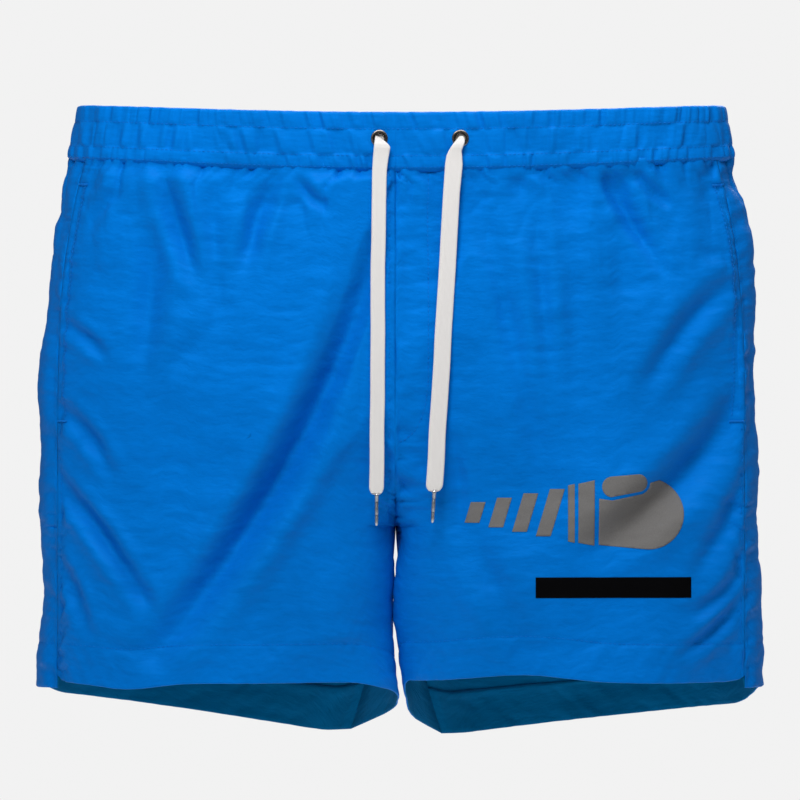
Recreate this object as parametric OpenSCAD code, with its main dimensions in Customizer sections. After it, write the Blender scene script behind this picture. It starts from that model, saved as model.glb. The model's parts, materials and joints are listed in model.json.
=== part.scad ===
// Pull-on boxing shorts with a drawcord waist, in the shape they hold when the waist is filled.
// The front faces -Y, +Z is up, and the origin is the middle of the waist opening.
// Left and right are the wearer's: the wearer's left leg is on the +X side.

/* [Overall] */
// Width across the waist at its top edge
waist_w = 438; // [400:1:460]
// Width at the foot of the waistband
band_foot_w = 453; // [440:1:475]
// Width at the hips
hip_w = 493; // [480:1:510]
// Front-to-back depth of the filled waist
waist_depth = 92; // [84:1:100]
// Depth below the waist at which the hips are widest
hip_drop = 195; // [150:5:230]
// Extra depth that the front gains below the waist
front_fill = 4; // [0:0.5:4]
// Extra depth that the seat gains below the waist
seat_fill = 10; // [0:1:20]

/* [Legs] */
// Depth of the crotch below the waist
crotch_d = 288; // [270:1:310]
// Depth of the front hems below the waist
front_hem_d = 393; // [370:1:410]
// Lowest point of the back hems below the waist
back_hem_d = 427; // [410:1:440]
// Gap between the two legs at the hem
leg_gap = 7; // [4:0.5:12]
// Height of the turned-up hem
hem_h = 26; // [18:1:32]
// Sideways shift of the centre seams
centre_x = -4; // [-8:1:8]

/* [Cloth] */
// Thickness of the cloth wall
cloth_t = 1.5; // [1.5:0.1:2]
// How far the side seams sit on the front, as an angle round the leg
side_seam_a = 25; // [15:1:30]
// Depth below the waist of the top of the pocket openings
pocket_top_d = 54; // [50:1:70]
// Length of each pocket opening
pocket_len = 160; // [130:1:170]
// Depth of the pocket bags below the foot of the opening
pocket_bag_drop = 30; // [10:1:40]

// Width of the mock fly
fly_w = 22; // [16:1:28]
// Depth below the waist of the foot of the fly stitching
fly_foot_d = 229; // [180:1:235]

/* [Waistband] */
// Height of the waistband at the sides
band_h = 37; // [34:1:40]
// Thickness of the filled waistband
band_t = 6.4; // [6:0.1:7]
// How far the waist sags at the middle
band_sag = 6; // [0:0.5:8]
// Extra sag at the foot of the waistband
foot_sag = 3; // [0:0.5:4]

/* [Drawcord] */
// Width of the flat braid
cord_w = 10.8; // [8:0.1:12]
// Thickness of the flat braid
cord_t = 2.8; // [2:0.1:3]
// Thickness of the braid where it is squeezed through an eyelet
throat_d = 5.4; // [4:0.1:5.8]
// Outer diameter of an eyelet
eyelet_d = 11.5; // [10:0.1:13]
// Diameter of the hole in an eyelet
eyelet_bore = 6.5; // [6.2:0.1:7]
// Length of a cord tip
aglet_len = 21; // [15:1:25]
// Diameter of a cord tip
aglet_d = 3; // [2.4:0.1:4]

/* [Print] */
// Thickness of the printed film
print_t = 0.4; // [0.3:0.1:0.8]
// Length of the plain bar under the emblem
bar_w = 106; // [80:1:110]
// Height of the plain bar
bar_h = 14; // [8:1:16]

/* [Hidden] */
left = 1;
right = -1;
half_t = cloth_t / 2;
skin_off = half_t + 0.2; // where threads and prints start, clear of the flat faces of the cloth
side_w = side_seam_a / 90;
inseam_wrap = 0.45;
band_half_t = band_t / 2;
casing_t = 0.8;
tuck_d = band_h - 4;
crotch_curve_front = 88;
crotch_curve_back = 140;
inseam_hem_d = 406;
back_low_x = 41;
side_hem_d = 398;
thread_w = 0.9;
thread_t = 0.5;
pocket_foot_d = pocket_top_d + pocket_len;
fly_curve = 45;
row_1_d = 11;
row_2_d = 27;
row_3_d = band_h - 2;
cloth_colour = [0.02, 0.45, 0.84];
inside_colour = [0.0, 0.30, 0.52];
thread_colour = [0.10, 0.52, 0.90];
cord_colour = [0.92, 0.91, 0.89];
gunmetal = [0.28, 0.26, 0.25];

// Eyelets: the x of each, and their common depth. The wearer's left one sits further out.
eyelet_z = -24;
eyelet_face_y = -(waist_depth / 2 + band_half_t);
flange_t = 0.9;
cord_exit_y = eyelet_face_y - flange_t - 0.3;
eyelet_x_left = 40;
eyelet_x_right = -15;

// Cord routes from the face of each eyelet, as offsets in x, y and z from it, chosen by hand.
lead_route_left = [[0, 0, 0], [-0.3, -1.6, -0.4], [-1, -2.7, -2.4], [-1.8, -2.8, -6],
    [-2.6, -2.4, -10], [-4, -2.2, -14.7]];
lead_route_right = [[0, 0, 0], [0, -1.6, -0.4], [-0.2, -2.7, -2.4], [-0.4, -2.8, -6],
    [-0.6, -2.4, -10], [-0.7, -2.2, -14.7]];
tail_route_left = [[-4, -2.2, -15], [-5.2, -2.2, -35], [-6.5, -2.2, -55], [-7.7, -2.2, -75],
    [-8.9, -2.2, -95], [-10.1, -2.2, -115], [-11.4, -2.2, -135], [-12.6, -2.2, -155],
    [-13.8, -2.2, -175], [-15, -2.2, -195],
    [-16.3, -2.2, -215], [-17.8, -2.2, -240]];
tail_route_right = [[-0.7, -2.2, -15], [-0.8, -2.2, -35], [-0.9, -2.2, -55], [-1, -2.2, -75],
    [-1.1, -2.2, -95], [-1.2, -2.2, -115], [-1.3, -2.2, -135], [-1.4, -2.2, -155],
    [-1.5, -2.2, -175], [-1.6, -2.2, -195],
    [-1.7, -2.2, -215], [-1.8, -2.2, -242]];
cord_sides = 12;

// Emblem: a plain glove shape and three slanted stripes.
emblem_x = 146;
emblem_z = -278;
bar_x = 144;
bar_z = -329;

// ---- Shape of the filled shorts ----
// d is the depth below the waist. w runs round one half of the body: 0 at the outermost side,
// 1 in front of the middle of the leg, 2 at the centre seam or inner leg, and negative behind.

function ease(t) = let(c = max(0, min(1, t))) c * c * (3 - 2 * c);

function half_w(d) = d < band_h
    ? waist_w / 2 + (band_foot_w - waist_w) / 2 * d / band_h
    : hip_w / 2 - (hip_w - band_foot_w) / 2 * pow(max(0, 1 - (d - band_h) / hip_drop), 3);

function half_depth(back, d) = waist_depth / 2 + (back ? seat_fill : front_fill) * ease((d - band_h) / 120);

function centre_depth(back, d, off) =
    let(full = half_depth(back, d) + off, foot = crotch_d + off,
        curve = back ? crotch_curve_back : crotch_curve_front, t = (d - foot + curve) / curve)
    d >= foot ? 0 : t <= 0 ? full : full * sqrt(1 - t * t);

function inner_x(d, off) = d < crotch_d + off ? 0 : max(0, leg_gap / 2 * ease((d - crotch_d) / 60) - off);

function sag(d) = d < band_h ? band_sag + foot_sag * d / band_h
    : (band_sag + foot_sag) * (1 - ease((d - band_h) / (crotch_d - band_h)));

function half_span(side, d) = half_w(d) - side * centre_x;

// Point on the wall of one half, moved outwards by off, with x measured from the centre seam.
function wall(side, w, d, off) =
    let(turn = w > 2 ? w - 4 : w, back = turn < 0, v = abs(turn), a = 90 * (v > 1 ? v - 1 : v),
        span = half_span(side, d), mid = span / 2, deep = half_depth(back, d) + off,
        x = v > 1 ? mid - (mid - inner_x(d, off)) * sin(a) : mid + (span + off - mid) * cos(a),
        centre = centre_depth(back, d, off),
        y = v > 1 ? centre + (deep - centre) * cos(a) : deep * sin(a),
        dip = sag(d) * (1 - pow((centre_x + side * x) / half_w(d), 2)))
    [x, back ? y : -y, -d - dip];

// The w at which the front wall lies x away from the centre seam.
function front_w(side, x, d) =
    let(mid = half_span(side, d) / 2, in = inner_x(d, 0))
    x < mid ? 1 + asin(min(1, (mid - x) / (mid - in))) / 90 : acos(min(1, (x - mid) / mid)) / 90;

// Depth of the hem at w: level in front, lowest behind near the inner leg.
function hem_d(side, w) =
    let(turn = w > 2 ? w - 4 : w, x = wall(side, turn, front_hem_d, 0)[0],
        span = half_span(side, front_hem_d))
    turn >= 0
        ? front_hem_d + (inseam_hem_d - front_hem_d) * pow(max(0, (turn - 1.3) / 0.7), 3)
            - 3 * pow(max(0, 1 - turn), 4)
        : x > back_low_x
            ? back_hem_d - (back_hem_d - side_hem_d) * (x - back_low_x) / (span - back_low_x)
            : back_hem_d
                - (back_hem_d - inseam_hem_d) * pow((back_low_x - x) / (back_low_x - leg_gap / 2), 2);

// ---- Builders ----

// Closed solid between two grids of points that have the same rows and columns. The rows run
// down the cloth and the columns run with w, or both the other way.
module slab(outer, inner) {
    rows = len(outer);
    cols = len(outer[0]);
    count = rows * cols;
    rim = concat(
        [for (c = [0 : cols - 1]) c],
        [for (r = [1 : rows - 1]) r * cols + cols - 1],
        [for (c = [cols - 2 : -1 : 0]) (rows - 1) * cols + c],
        [for (r = [rows - 2 : -1 : 1]) r * cols]);
    faces = concat(
        [for (r = [0 : rows - 2], c = [0 : cols - 2])
            [r * cols + c, (r + 1) * cols + c + 1, r * cols + c + 1]],
        [for (r = [0 : rows - 2], c = [0 : cols - 2])
            [r * cols + c, (r + 1) * cols + c, (r + 1) * cols + c + 1]],
        [for (r = [0 : rows - 2], c = [0 : cols - 2])
            [count + r * cols + c, count + r * cols + c + 1, count + (r + 1) * cols + c + 1]],
        [for (r = [0 : rows - 2], c = [0 : cols - 2])
            [count + r * cols + c, count + (r + 1) * cols + c + 1, count + (r + 1) * cols + c]],
        [for (i = [0 : len(rim) - 1]) [rim[i], rim[(i + 1) % len(rim)], count + rim[i]]],
        [for (i = [0 : len(rim) - 1])
            [rim[(i + 1) % len(rim)], count + rim[(i + 1) % len(rim)], count + rim[i]]]);
    polyhedron(concat([for (row = outer) each row], [for (row = inner) each row]), faces);
}

// Closed solid through a list of rings, capped at both ends or joined into a loop.
module tube(rings, loop = false) {
    n = len(rings);
    k = len(rings[0]);
    last = loop ? n - 1 : n - 2;
    sides = [for (r = [0 : last], c = [0 : k - 1])
        let(a = r * k + c, b = r * k + (c + 1) % k,
            e = ((r + 1) % n) * k + c, f = ((r + 1) % n) * k + (c + 1) % k)
        each [[a, b, f], [a, f, e]]];
    caps = loop ? [] : [[for (c = [k - 1 : -1 : 0]) c], [for (c = [0 : k - 1]) (n - 1) * k + c]];
    polyhedron([for (ring = rings) each ring], concat(sides, caps));
}

// Puts a half that was drawn from the centre seam outwards on its own side.
module half(side) {
    translate([centre_x, 0, 0]) mirror([side < 0 ? 1 : 0, 0, 0]) children();
}

// Patch of wall between two offsets, over w from w0 to w1 and d from d0 to d1.
module patch(side, w0, w1, d0, d1, off_out, off_in, cols, rows) {
    half(side) slab(
        [for (r = [0 : rows]) [for (c = [0 : cols])
            wall(side, w0 + (w1 - w0) * c / cols, d0 + (d1 - d0) * r / rows, off_out)]],
        [for (r = [0 : rows]) [for (c = [0 : cols])
            wall(side, w0 + (w1 - w0) * c / cols, d0 + (d1 - d0) * r / rows, off_in)]]);
}

// Line of thread that follows points given as pairs of w and d.
module thread_row(side, line, off, across = false) {
    function edge(k, o) = [for (p = line)
        wall(side, p[0] - (across ? k * thread_w / 190 : 0), p[1] + (across ? 0 : k * thread_w / 2), o)];
    half(side) slab([edge(-1, off + thread_t), edge(1, off + thread_t)], [edge(-1, off), edge(1, off)]);
}

// ---- Cloth panels ----

upper_rows = [tuck_d, 40, 52, 75, 105, 145, 180];
crotch_rows = [for (a = [0 : 15 : 90]) crotch_d - crotch_curve_front * (1 - sin(a))];
leg_rows = [0.08, 0.25, 0.5, 0.75, 1];
panel_cols = 18;

panel_rows = len(upper_rows) + len(crotch_rows) + len(leg_rows);
crotch_row = len(upper_rows) + len(crotch_rows);

// How far row r is down the leg, from 0 at the crotch to 1 at the hem.
function leg_share(r) = r < crotch_row ? 0 : leg_rows[r - crotch_row];

function row_d(r, hem) = r < len(upper_rows) ? upper_rows[r]
    : r < crotch_row ? crotch_rows[r - len(upper_rows)] : crotch_d + (hem - crotch_d) * leg_share(r);

// The inseam starts at the crotch and drifts behind the inner leg towards the hem.
function panel_grid(side, back, off) = [for (r = [0 : panel_rows - 1]) [for (c = [0 : panel_cols])
    let(seam = 2 + inseam_wrap * leg_share(r), w0 = back ? seam - 4 : side_w, w1 = back ? side_w : seam,
        w = w0 + (w1 - w0) * c / panel_cols)
    wall(side, w, row_d(r, hem_d(side, w)), off)]];

module panel(side, back) {
    half(side) slab(panel_grid(side, back, half_t), panel_grid(side, back, -half_t));
}

module front_panel_left() { color(cloth_colour) panel(left, false); }
module front_panel_right() { color(cloth_colour) panel(right, false); }
module back_panel_left() { color(cloth_colour) panel(left, true); }
module back_panel_right() { color(cloth_colour) panel(right, true); }

// ---- Waistband ----

// Cross-section of the folded casing as pairs of offset and depth, from the outer foot over the top.
casing_profile = [
    [half_t + casing_t, band_h], [band_half_t, band_h - 4], [band_half_t, casing_t],
    [band_half_t - casing_t, 0], [casing_t - band_half_t, 0], [-band_half_t, casing_t],
    [-band_half_t, band_h - 4], [-half_t - casing_t, band_h], [-half_t - 0.1, band_h - 0.5],
    [casing_t - band_half_t, band_h - 4.4], [casing_t - band_half_t, casing_t],
    [band_half_t - casing_t, casing_t],
    [band_half_t - casing_t, band_h - 4.4], [half_t + 0.1, band_h - 0.5]
];
band_steps = 36;

module casing(side) {
    difference() {
        half(side) tube([for (i = [0 : band_steps])
            [for (p = casing_profile) wall(side, 2 - 4 * i / band_steps, p[1], p[0])]]);
        translate([side > 0 ? eyelet_x_left : eyelet_x_right, eyelet_face_y - 1, eyelet_z])
            rotate([-90, 0, 0]) cylinder(d = (eyelet_bore + 1.2) / cos(15), h = casing_t + 2, $fn = 12);
    }
}

module waistband_casing_left() { color(cloth_colour) casing(left); }
module waistband_casing_right() { color(cloth_colour) casing(right); }

// Ring of points round the whole waist at depth d, as pairs of side and w.
function waist_stations(steps) = concat(
    [for (i = [0 : steps - 1]) [left, 2 - 4 * i / steps]],
    [for (i = [0 : steps - 1]) [right, -2 + 4 * i / steps]]);

function placed(side, p) = [centre_x + side * p[0], p[1], p[2]];

module waistband_elastic() {
    profile = [[-0.9, 2], [-2.2, 2], [-2.2, 31], [-0.9, 31]];
    color("whitesmoke") tube([for (s = waist_stations(60))
        [for (p = profile) placed(s[0], wall(s[0], s[1], p[1], p[0]))]], loop = true);
}

// ---- Eyelets ----

module eyelet(x) {
    bore = eyelet_bore / 2;
    translate([x, eyelet_face_y, eyelet_z]) rotate([90, 0, 0]) rotate_extrude($fn = 48) polygon([
        [bore, -casing_t - 0.6], [bore + 0.5, -casing_t - 0.6], [bore + 0.5, 0], [eyelet_d / 2, 0],
        [eyelet_d / 2 - 0.2, 0.5], [eyelet_d / 2 - 1, flange_t], [bore + 0.5, flange_t], [bore, 0.4]]);
}

module washer(x) {
    translate([x, eyelet_face_y + casing_t, eyelet_z]) rotate([-90, 0, 0]) difference() {
        cylinder(d = eyelet_d - 1, h = 0.5, $fn = 48);
        translate([0, 0, -1]) cylinder(d = eyelet_bore + 1.1, h = 3, $fn = 48);
    }
}

module eyelet_left() { color(gunmetal) eyelet(eyelet_x_left); }
module eyelet_right() { color(gunmetal) eyelet(eyelet_x_right); }
module eyelet_washer_left() { color(gunmetal) washer(eyelet_x_left); }
module eyelet_washer_right() { color(gunmetal) washer(eyelet_x_right); }

// ---- Drawcord ----

// The hidden run lies in the channel, from one eyelet round the back to the other. A round throat
// comes up into each eyelet and stops short of its face, so that the lead can swing there.
throat_back = 1.6;

module drawcord_channel_run() {
    run_d = 18;
    half_run = (cord_w - 1) / 2;
    profile = [[1.3, -half_run + 0.6], [0.6, -half_run], [-0.3, -half_run + 0.6], [-0.6, 0],
        [-0.3, half_run - 0.6], [0.6, half_run], [1.3, half_run - 0.6], [1.6, 0]];
    start = front_w(left, eyelet_x_left - centre_x - 4, run_d);
    end = front_w(right, centre_x - eyelet_x_right - 4, run_d);
    steps = 54;
    stations = concat([for (i = [0 : steps]) [left, start - (start + 2) * i / steps]],
        [for (i = [1 : steps]) [right, -2 + (end + 2) * i / steps]]);
    color(cord_colour) {
        tube([for (s = stations) [for (p = profile) placed(s[0], wall(s[0], s[1], run_d + p[1], p[0]))]]);
        for (x = [eyelet_x_left, eyelet_x_right])
            translate([x, cord_exit_y + throat_back, eyelet_z]) rotate([-90, 0, 0])
                cylinder(d = throat_d, h = 4.2 - throat_back, $fn = 32);
    }
}

// Flat ring of the braid round a point, square to its direction of travel.
function cord_ring(p, dir, wide, thick) =
    let(run = dir / norm(dir), across = cross([0, -1, 0], run), flat = norm(across) < 0.2 ? [1, 0, 0]
        : across / norm(across), out = cross(run, flat))
    [for (i = [0 : cord_sides - 1]) let(a = 360 * i / cord_sides)
        p + flat * wide / 2 * cos(a) - out * thick / 2 * sin(a)];

// Rings along a route that starts at the eyelet at x. They widen to the braid's full width, and
// the end rings lie square to the two directions given.
function cord_rings(x, route, wide0, first_dir, last_dir) = [for (i = [0 : len(route) - 1])
    let(n = len(route) - 1,
        dir = i == 0 ? first_dir : i == n ? last_dir : route[i + 1] - route[i - 1])
    cord_ring([x, cord_exit_y, eyelet_z] + route[i], dir,
        wide0 + (cord_w - wide0) * ease(i / n), cord_t)];

module lead(x, route, next) { tube(cord_rings(x, route, throat_d, [0, -1, 0], next[1] - next[0])); }
module tail(x, route) {
    n = len(route) - 1;
    tube(cord_rings(x, route, cord_w, route[1] - route[0], route[n] - route[n - 1]));
}

module drawcord_lead_left() { color(cord_colour) lead(eyelet_x_left, lead_route_left, tail_route_left); }
module drawcord_lead_right() { color(cord_colour) lead(eyelet_x_right, lead_route_right, tail_route_right); }
module drawcord_tail_left() { color(cord_colour) tail(eyelet_x_left, tail_route_left); }
module drawcord_tail_right() { color(cord_colour) tail(eyelet_x_right, tail_route_right); }

// Cord tip: a thin tapered sleeve below the rounded end of the braid.
module aglet(x, route) {
    n = len(route) - 1;
    lean = atan2(route[n][0] - route[n - 1][0], route[n - 1][2] - route[n][2]);
    translate([x, cord_exit_y, eyelet_z] + route[n]) rotate([0, -lean, 0]) rotate([180, 0, 0])
        rotate_extrude($fn = 32) polygon([[0, 0], [aglet_d / 2 - 0.3, 0], [aglet_d / 2, 0.6],
            [aglet_d / 2, aglet_len - 3], [aglet_d / 2 - 0.6, aglet_len], [0, aglet_len]]);
}

module aglet_left() { color(gunmetal) aglet(eyelet_x_left, tail_route_left); }
module aglet_right() { color(gunmetal) aglet(eyelet_x_right, tail_route_right); }

// ---- Fly, pockets and tacks ----

// The fly stitching runs down beside the centre seam, then curves in to meet it.
function fly_stitch_x(d) =
    1.5 + (fly_w - 1.5) * sqrt(1 - pow(max(0, (d - fly_foot_d + fly_curve) / fly_curve), 2));

module fly_facing() {
    color(inside_colour) patch(left, front_w(left, fly_w + 2, 80), 1.97, band_h + 2, fly_foot_d,
        -half_t - 0.4, -half_t - 1.1, 6, 16);
}

module pocket_bag(side) {
    patch(side, side_w + 0.02, 1.12, band_h + 12, pocket_foot_d + pocket_bag_drop,
        -half_t - 1.2, -half_t - 3.6, 8, 8);
}

module pocket_bag_left() { color(inside_colour) pocket_bag(left); }
module pocket_bag_right() { color(inside_colour) pocket_bag(right); }

module pocket_facing(side) {
    patch(side, side_w + 0.01, side_w + 0.3, pocket_top_d - 4, pocket_foot_d + 4,
        -half_t - 0.5, -half_t - 1.1, 8, 16);
}

module pocket_facing_left() { color(cloth_colour) pocket_facing(left); }
module pocket_facing_right() { color(cloth_colour) pocket_facing(right); }

module pocket_welt(side) {
    patch(side, side_w + 0.005, side_w + 0.08, pocket_top_d, pocket_foot_d, half_t + 0.6, half_t, 2, 8);
}

module pocket_welt_left() { color(cloth_colour) pocket_welt(left); }
module pocket_welt_right() { color(cloth_colour) pocket_welt(right); }

module pocket_bartacks() {
    color(thread_colour) for (side = [left, right], d = [pocket_top_d - 1, pocket_foot_d + 1])
        patch(side, side_w - 0.03, side_w + 0.08, d - 0.9, d + 0.9, half_t + 1.2, half_t + 0.6, 3, 1);
}

module hem_vent_bartacks() {
    color(thread_colour) for (side = [left, right])
        patch(side, side_w - 0.012, side_w + 0.012, front_hem_d - 22, front_hem_d - 8,
            half_t + 0.6, half_t, 1, 2);
}

// ---- Stitching ----

module waistband_topstitch() {
    rows = [[row_1_d, band_half_t], [row_2_d, band_half_t], [row_3_d, 2.6]];
    color(thread_colour) for (side = [left, right], row = rows)
        thread_row(side, [for (i = [0 : band_steps]) [4 * i / band_steps - 2, row[0]]], row[1] + 0.05);
}

module centre_topstitch() {
    color(thread_colour) {
        thread_row(right, [for (i = [0 : 30]) let(d = band_h + 1 + (crotch_d - 6 - band_h) * i / 30)
            [front_w(right, 4, d), d]], skin_off, across = true);
        thread_row(left, [for (i = [0 : 30]) let(d = band_h + 1 + (fly_foot_d - band_h - 1) * i / 30)
            [front_w(left, fly_stitch_x(d), d), d]], skin_off, across = true);
    }
}

module side_seam_topstitch() {
    color(thread_colour) for (side = [left, right])
        thread_row(side, [for (i = [0 : 16])
            let(d = pocket_foot_d + 4 + (front_hem_d - 34 - pocket_foot_d) * i / 16) [side_w + 0.02, d]],
            skin_off, across = true);
}

module hem_topstitch() {
    color(thread_colour) for (side = [left, right]) {
        thread_row(side, [for (i = [0 : 48]) let(w = side_w + 0.02 + (2.3 - side_w) * i / 48)
            [w, hem_d(side, w) - hem_h]], skin_off);
        thread_row(side, [for (i = [0 : 48]) let(w = -1.6 + (1.55 + side_w) * i / 48)
            [w, hem_d(side, w) - hem_h]], skin_off);
    }
}

// ---- Prints ----

// Thin film on the wearer's left front, wide enough for the outlines that are cut from it.
module film(x0, x1, d0, d1) {
    cols = 26;
    rows = 16;
    half(left) slab(film_grid(x0, x1, d0, d1, cols, rows, skin_off + print_t),
        film_grid(x0, x1, d0, d1, cols, rows, skin_off));
}

function film_grid(x0, x1, d0, d1, cols, rows, off) = [for (r = [0 : rows]) [for (c = [0 : cols])
    let(d = d0 + (d1 - d0) * r / rows, x = x1 + (x0 - x1) * c / cols)
    wall(left, front_w(left, x - centre_x, d), d, off)]];

module slanted_stripe(x, h) {
    polygon([[x - h * 0.15, -h / 2], [x + 10 - h * 0.15, -h / 2],
        [x + 10 + h * 0.15, h / 2], [x + h * 0.15, h / 2]]);
}

module glove_outline() {
    translate([16, 2]) circle(d = 56, $fn = 64);
    translate([4, 22]) circle(d = 22, $fn = 48);
    translate([-12, -22]) square([28, 46]);
    translate([-27, -20]) square([12, 42]);
    for (k = [0 : 3]) slanted_stripe(-46 - 17 * k, 34 - 6 * k);
}

module glove_print() {
    color("gray") intersection() {
        film(emblem_x - 105, emblem_x + 52, 236, 320);
        translate([emblem_x, 0, emblem_z]) rotate([90, 0, 0]) linear_extrude(80) glove_outline();
    }
}

module bar_print() {
    color([0.02, 0.02, 0.02]) intersection() {
        film(bar_x - bar_w / 2 - 4, bar_x + bar_w / 2 + 4, 316, 342);
        translate([bar_x, 0, bar_z]) rotate([90, 0, 0]) linear_extrude(80)
            square([bar_w, bar_h], center = true);
    }
}

front_panel_left();
front_panel_right();
back_panel_left();
back_panel_right();
waistband_casing_left();
waistband_casing_right();
waistband_elastic();
eyelet_left();
eyelet_right();
eyelet_washer_left();
eyelet_washer_right();
drawcord_channel_run();
drawcord_lead_left();
drawcord_lead_right();
drawcord_tail_left();
drawcord_tail_right();
aglet_left();
aglet_right();
fly_facing();
pocket_bag_left();
pocket_bag_right();
pocket_facing_left();
pocket_facing_right();
pocket_welt_left();
pocket_welt_right();
pocket_bartacks();
hem_vent_bartacks();
waistband_topstitch();
centre_topstitch();
side_seam_topstitch();
hem_topstitch();
glove_print();
bar_print();
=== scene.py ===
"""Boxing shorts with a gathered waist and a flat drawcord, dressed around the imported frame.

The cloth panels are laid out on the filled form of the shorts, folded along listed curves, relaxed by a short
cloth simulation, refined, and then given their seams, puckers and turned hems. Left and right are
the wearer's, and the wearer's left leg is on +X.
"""
from __future__ import annotations

import json
import logging
import math
from dataclasses import dataclass, field
from enum import Enum
from typing import Sequence

import bmesh
import bpy
import numpy as np
from mathutils import Matrix, Vector
from mathutils.bvhtree import BVHTree
from mathutils.kdtree import KDTree

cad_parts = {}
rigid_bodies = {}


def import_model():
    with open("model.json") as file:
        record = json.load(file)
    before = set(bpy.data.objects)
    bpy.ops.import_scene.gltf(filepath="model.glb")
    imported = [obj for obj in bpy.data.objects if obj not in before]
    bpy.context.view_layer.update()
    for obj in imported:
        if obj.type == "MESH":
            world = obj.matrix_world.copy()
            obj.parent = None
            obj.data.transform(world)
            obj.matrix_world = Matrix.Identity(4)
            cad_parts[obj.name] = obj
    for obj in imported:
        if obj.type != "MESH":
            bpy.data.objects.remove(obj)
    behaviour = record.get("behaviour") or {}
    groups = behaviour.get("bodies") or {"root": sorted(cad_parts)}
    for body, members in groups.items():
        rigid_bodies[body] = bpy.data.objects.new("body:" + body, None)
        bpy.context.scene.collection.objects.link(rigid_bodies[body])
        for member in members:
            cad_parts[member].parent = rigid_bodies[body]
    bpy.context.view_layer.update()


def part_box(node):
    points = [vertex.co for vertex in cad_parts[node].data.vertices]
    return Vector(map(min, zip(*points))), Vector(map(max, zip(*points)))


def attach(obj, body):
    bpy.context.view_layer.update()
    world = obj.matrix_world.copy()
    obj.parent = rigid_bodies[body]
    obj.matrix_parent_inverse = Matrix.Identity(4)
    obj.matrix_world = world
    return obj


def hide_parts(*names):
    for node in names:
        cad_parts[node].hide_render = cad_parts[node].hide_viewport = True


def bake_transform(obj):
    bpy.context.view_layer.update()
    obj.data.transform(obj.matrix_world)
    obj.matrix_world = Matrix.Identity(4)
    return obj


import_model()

LOG = logging.getLogger("shorts")
MM = 0.001
SHELL_BODY = "shorts"
CLOTH_UV = "cloth"


class Side(Enum):
    """One half of the shorts, by the wearer."""

    LEFT = 1
    RIGHT = -1

    @property
    def label(self) -> str:
        """The half's name as it stands in node names."""
        return self.name.lower()


class Face(Enum):
    """Front or back of the shorts."""

    FRONT = 0
    BACK = 1


def ease(t: np.ndarray) -> np.ndarray:
    """Smooth step from 0 to 1."""
    c = np.clip(t, 0.0, 1.0)
    return c * c * (3.0 - 2.0 * c)


def bell(t: np.ndarray) -> np.ndarray:
    """Bell curve, 1 at zero."""
    return np.exp(-np.square(t))


class Noise:
    """Smooth repeatable noise on a plane, from -1 to 1."""

    def __init__(self, seed: int) -> None:
        """Fills the lattice.

        Args:
            seed: picks the pattern.
        """
        self.size = 128
        self.table = np.random.default_rng(seed).uniform(-1.0, 1.0, (self.size, self.size))

    def __call__(self, x: np.ndarray, y: np.ndarray) -> np.ndarray:
        """Value of the noise.

        Args:
            x: first coordinate, in cells.
            y: second coordinate, in cells.

        Returns:
            Values from -1 to 1, of the coordinates' common shape.
        """
        x, y = np.broadcast_arrays(np.asarray(x, float), np.asarray(y, float))
        i, j = np.floor(x).astype(int), np.floor(y).astype(int)
        u, v = ease(x - i), ease(y - j)
        t, n = self.table, self.size
        a = t[i % n, j % n] * (1 - u) + t[(i + 1) % n, j % n] * u
        b = t[i % n, (j + 1) % n] * (1 - u) + t[(i + 1) % n, (j + 1) % n] * u
        return a * (1 - v) + b * v


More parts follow.
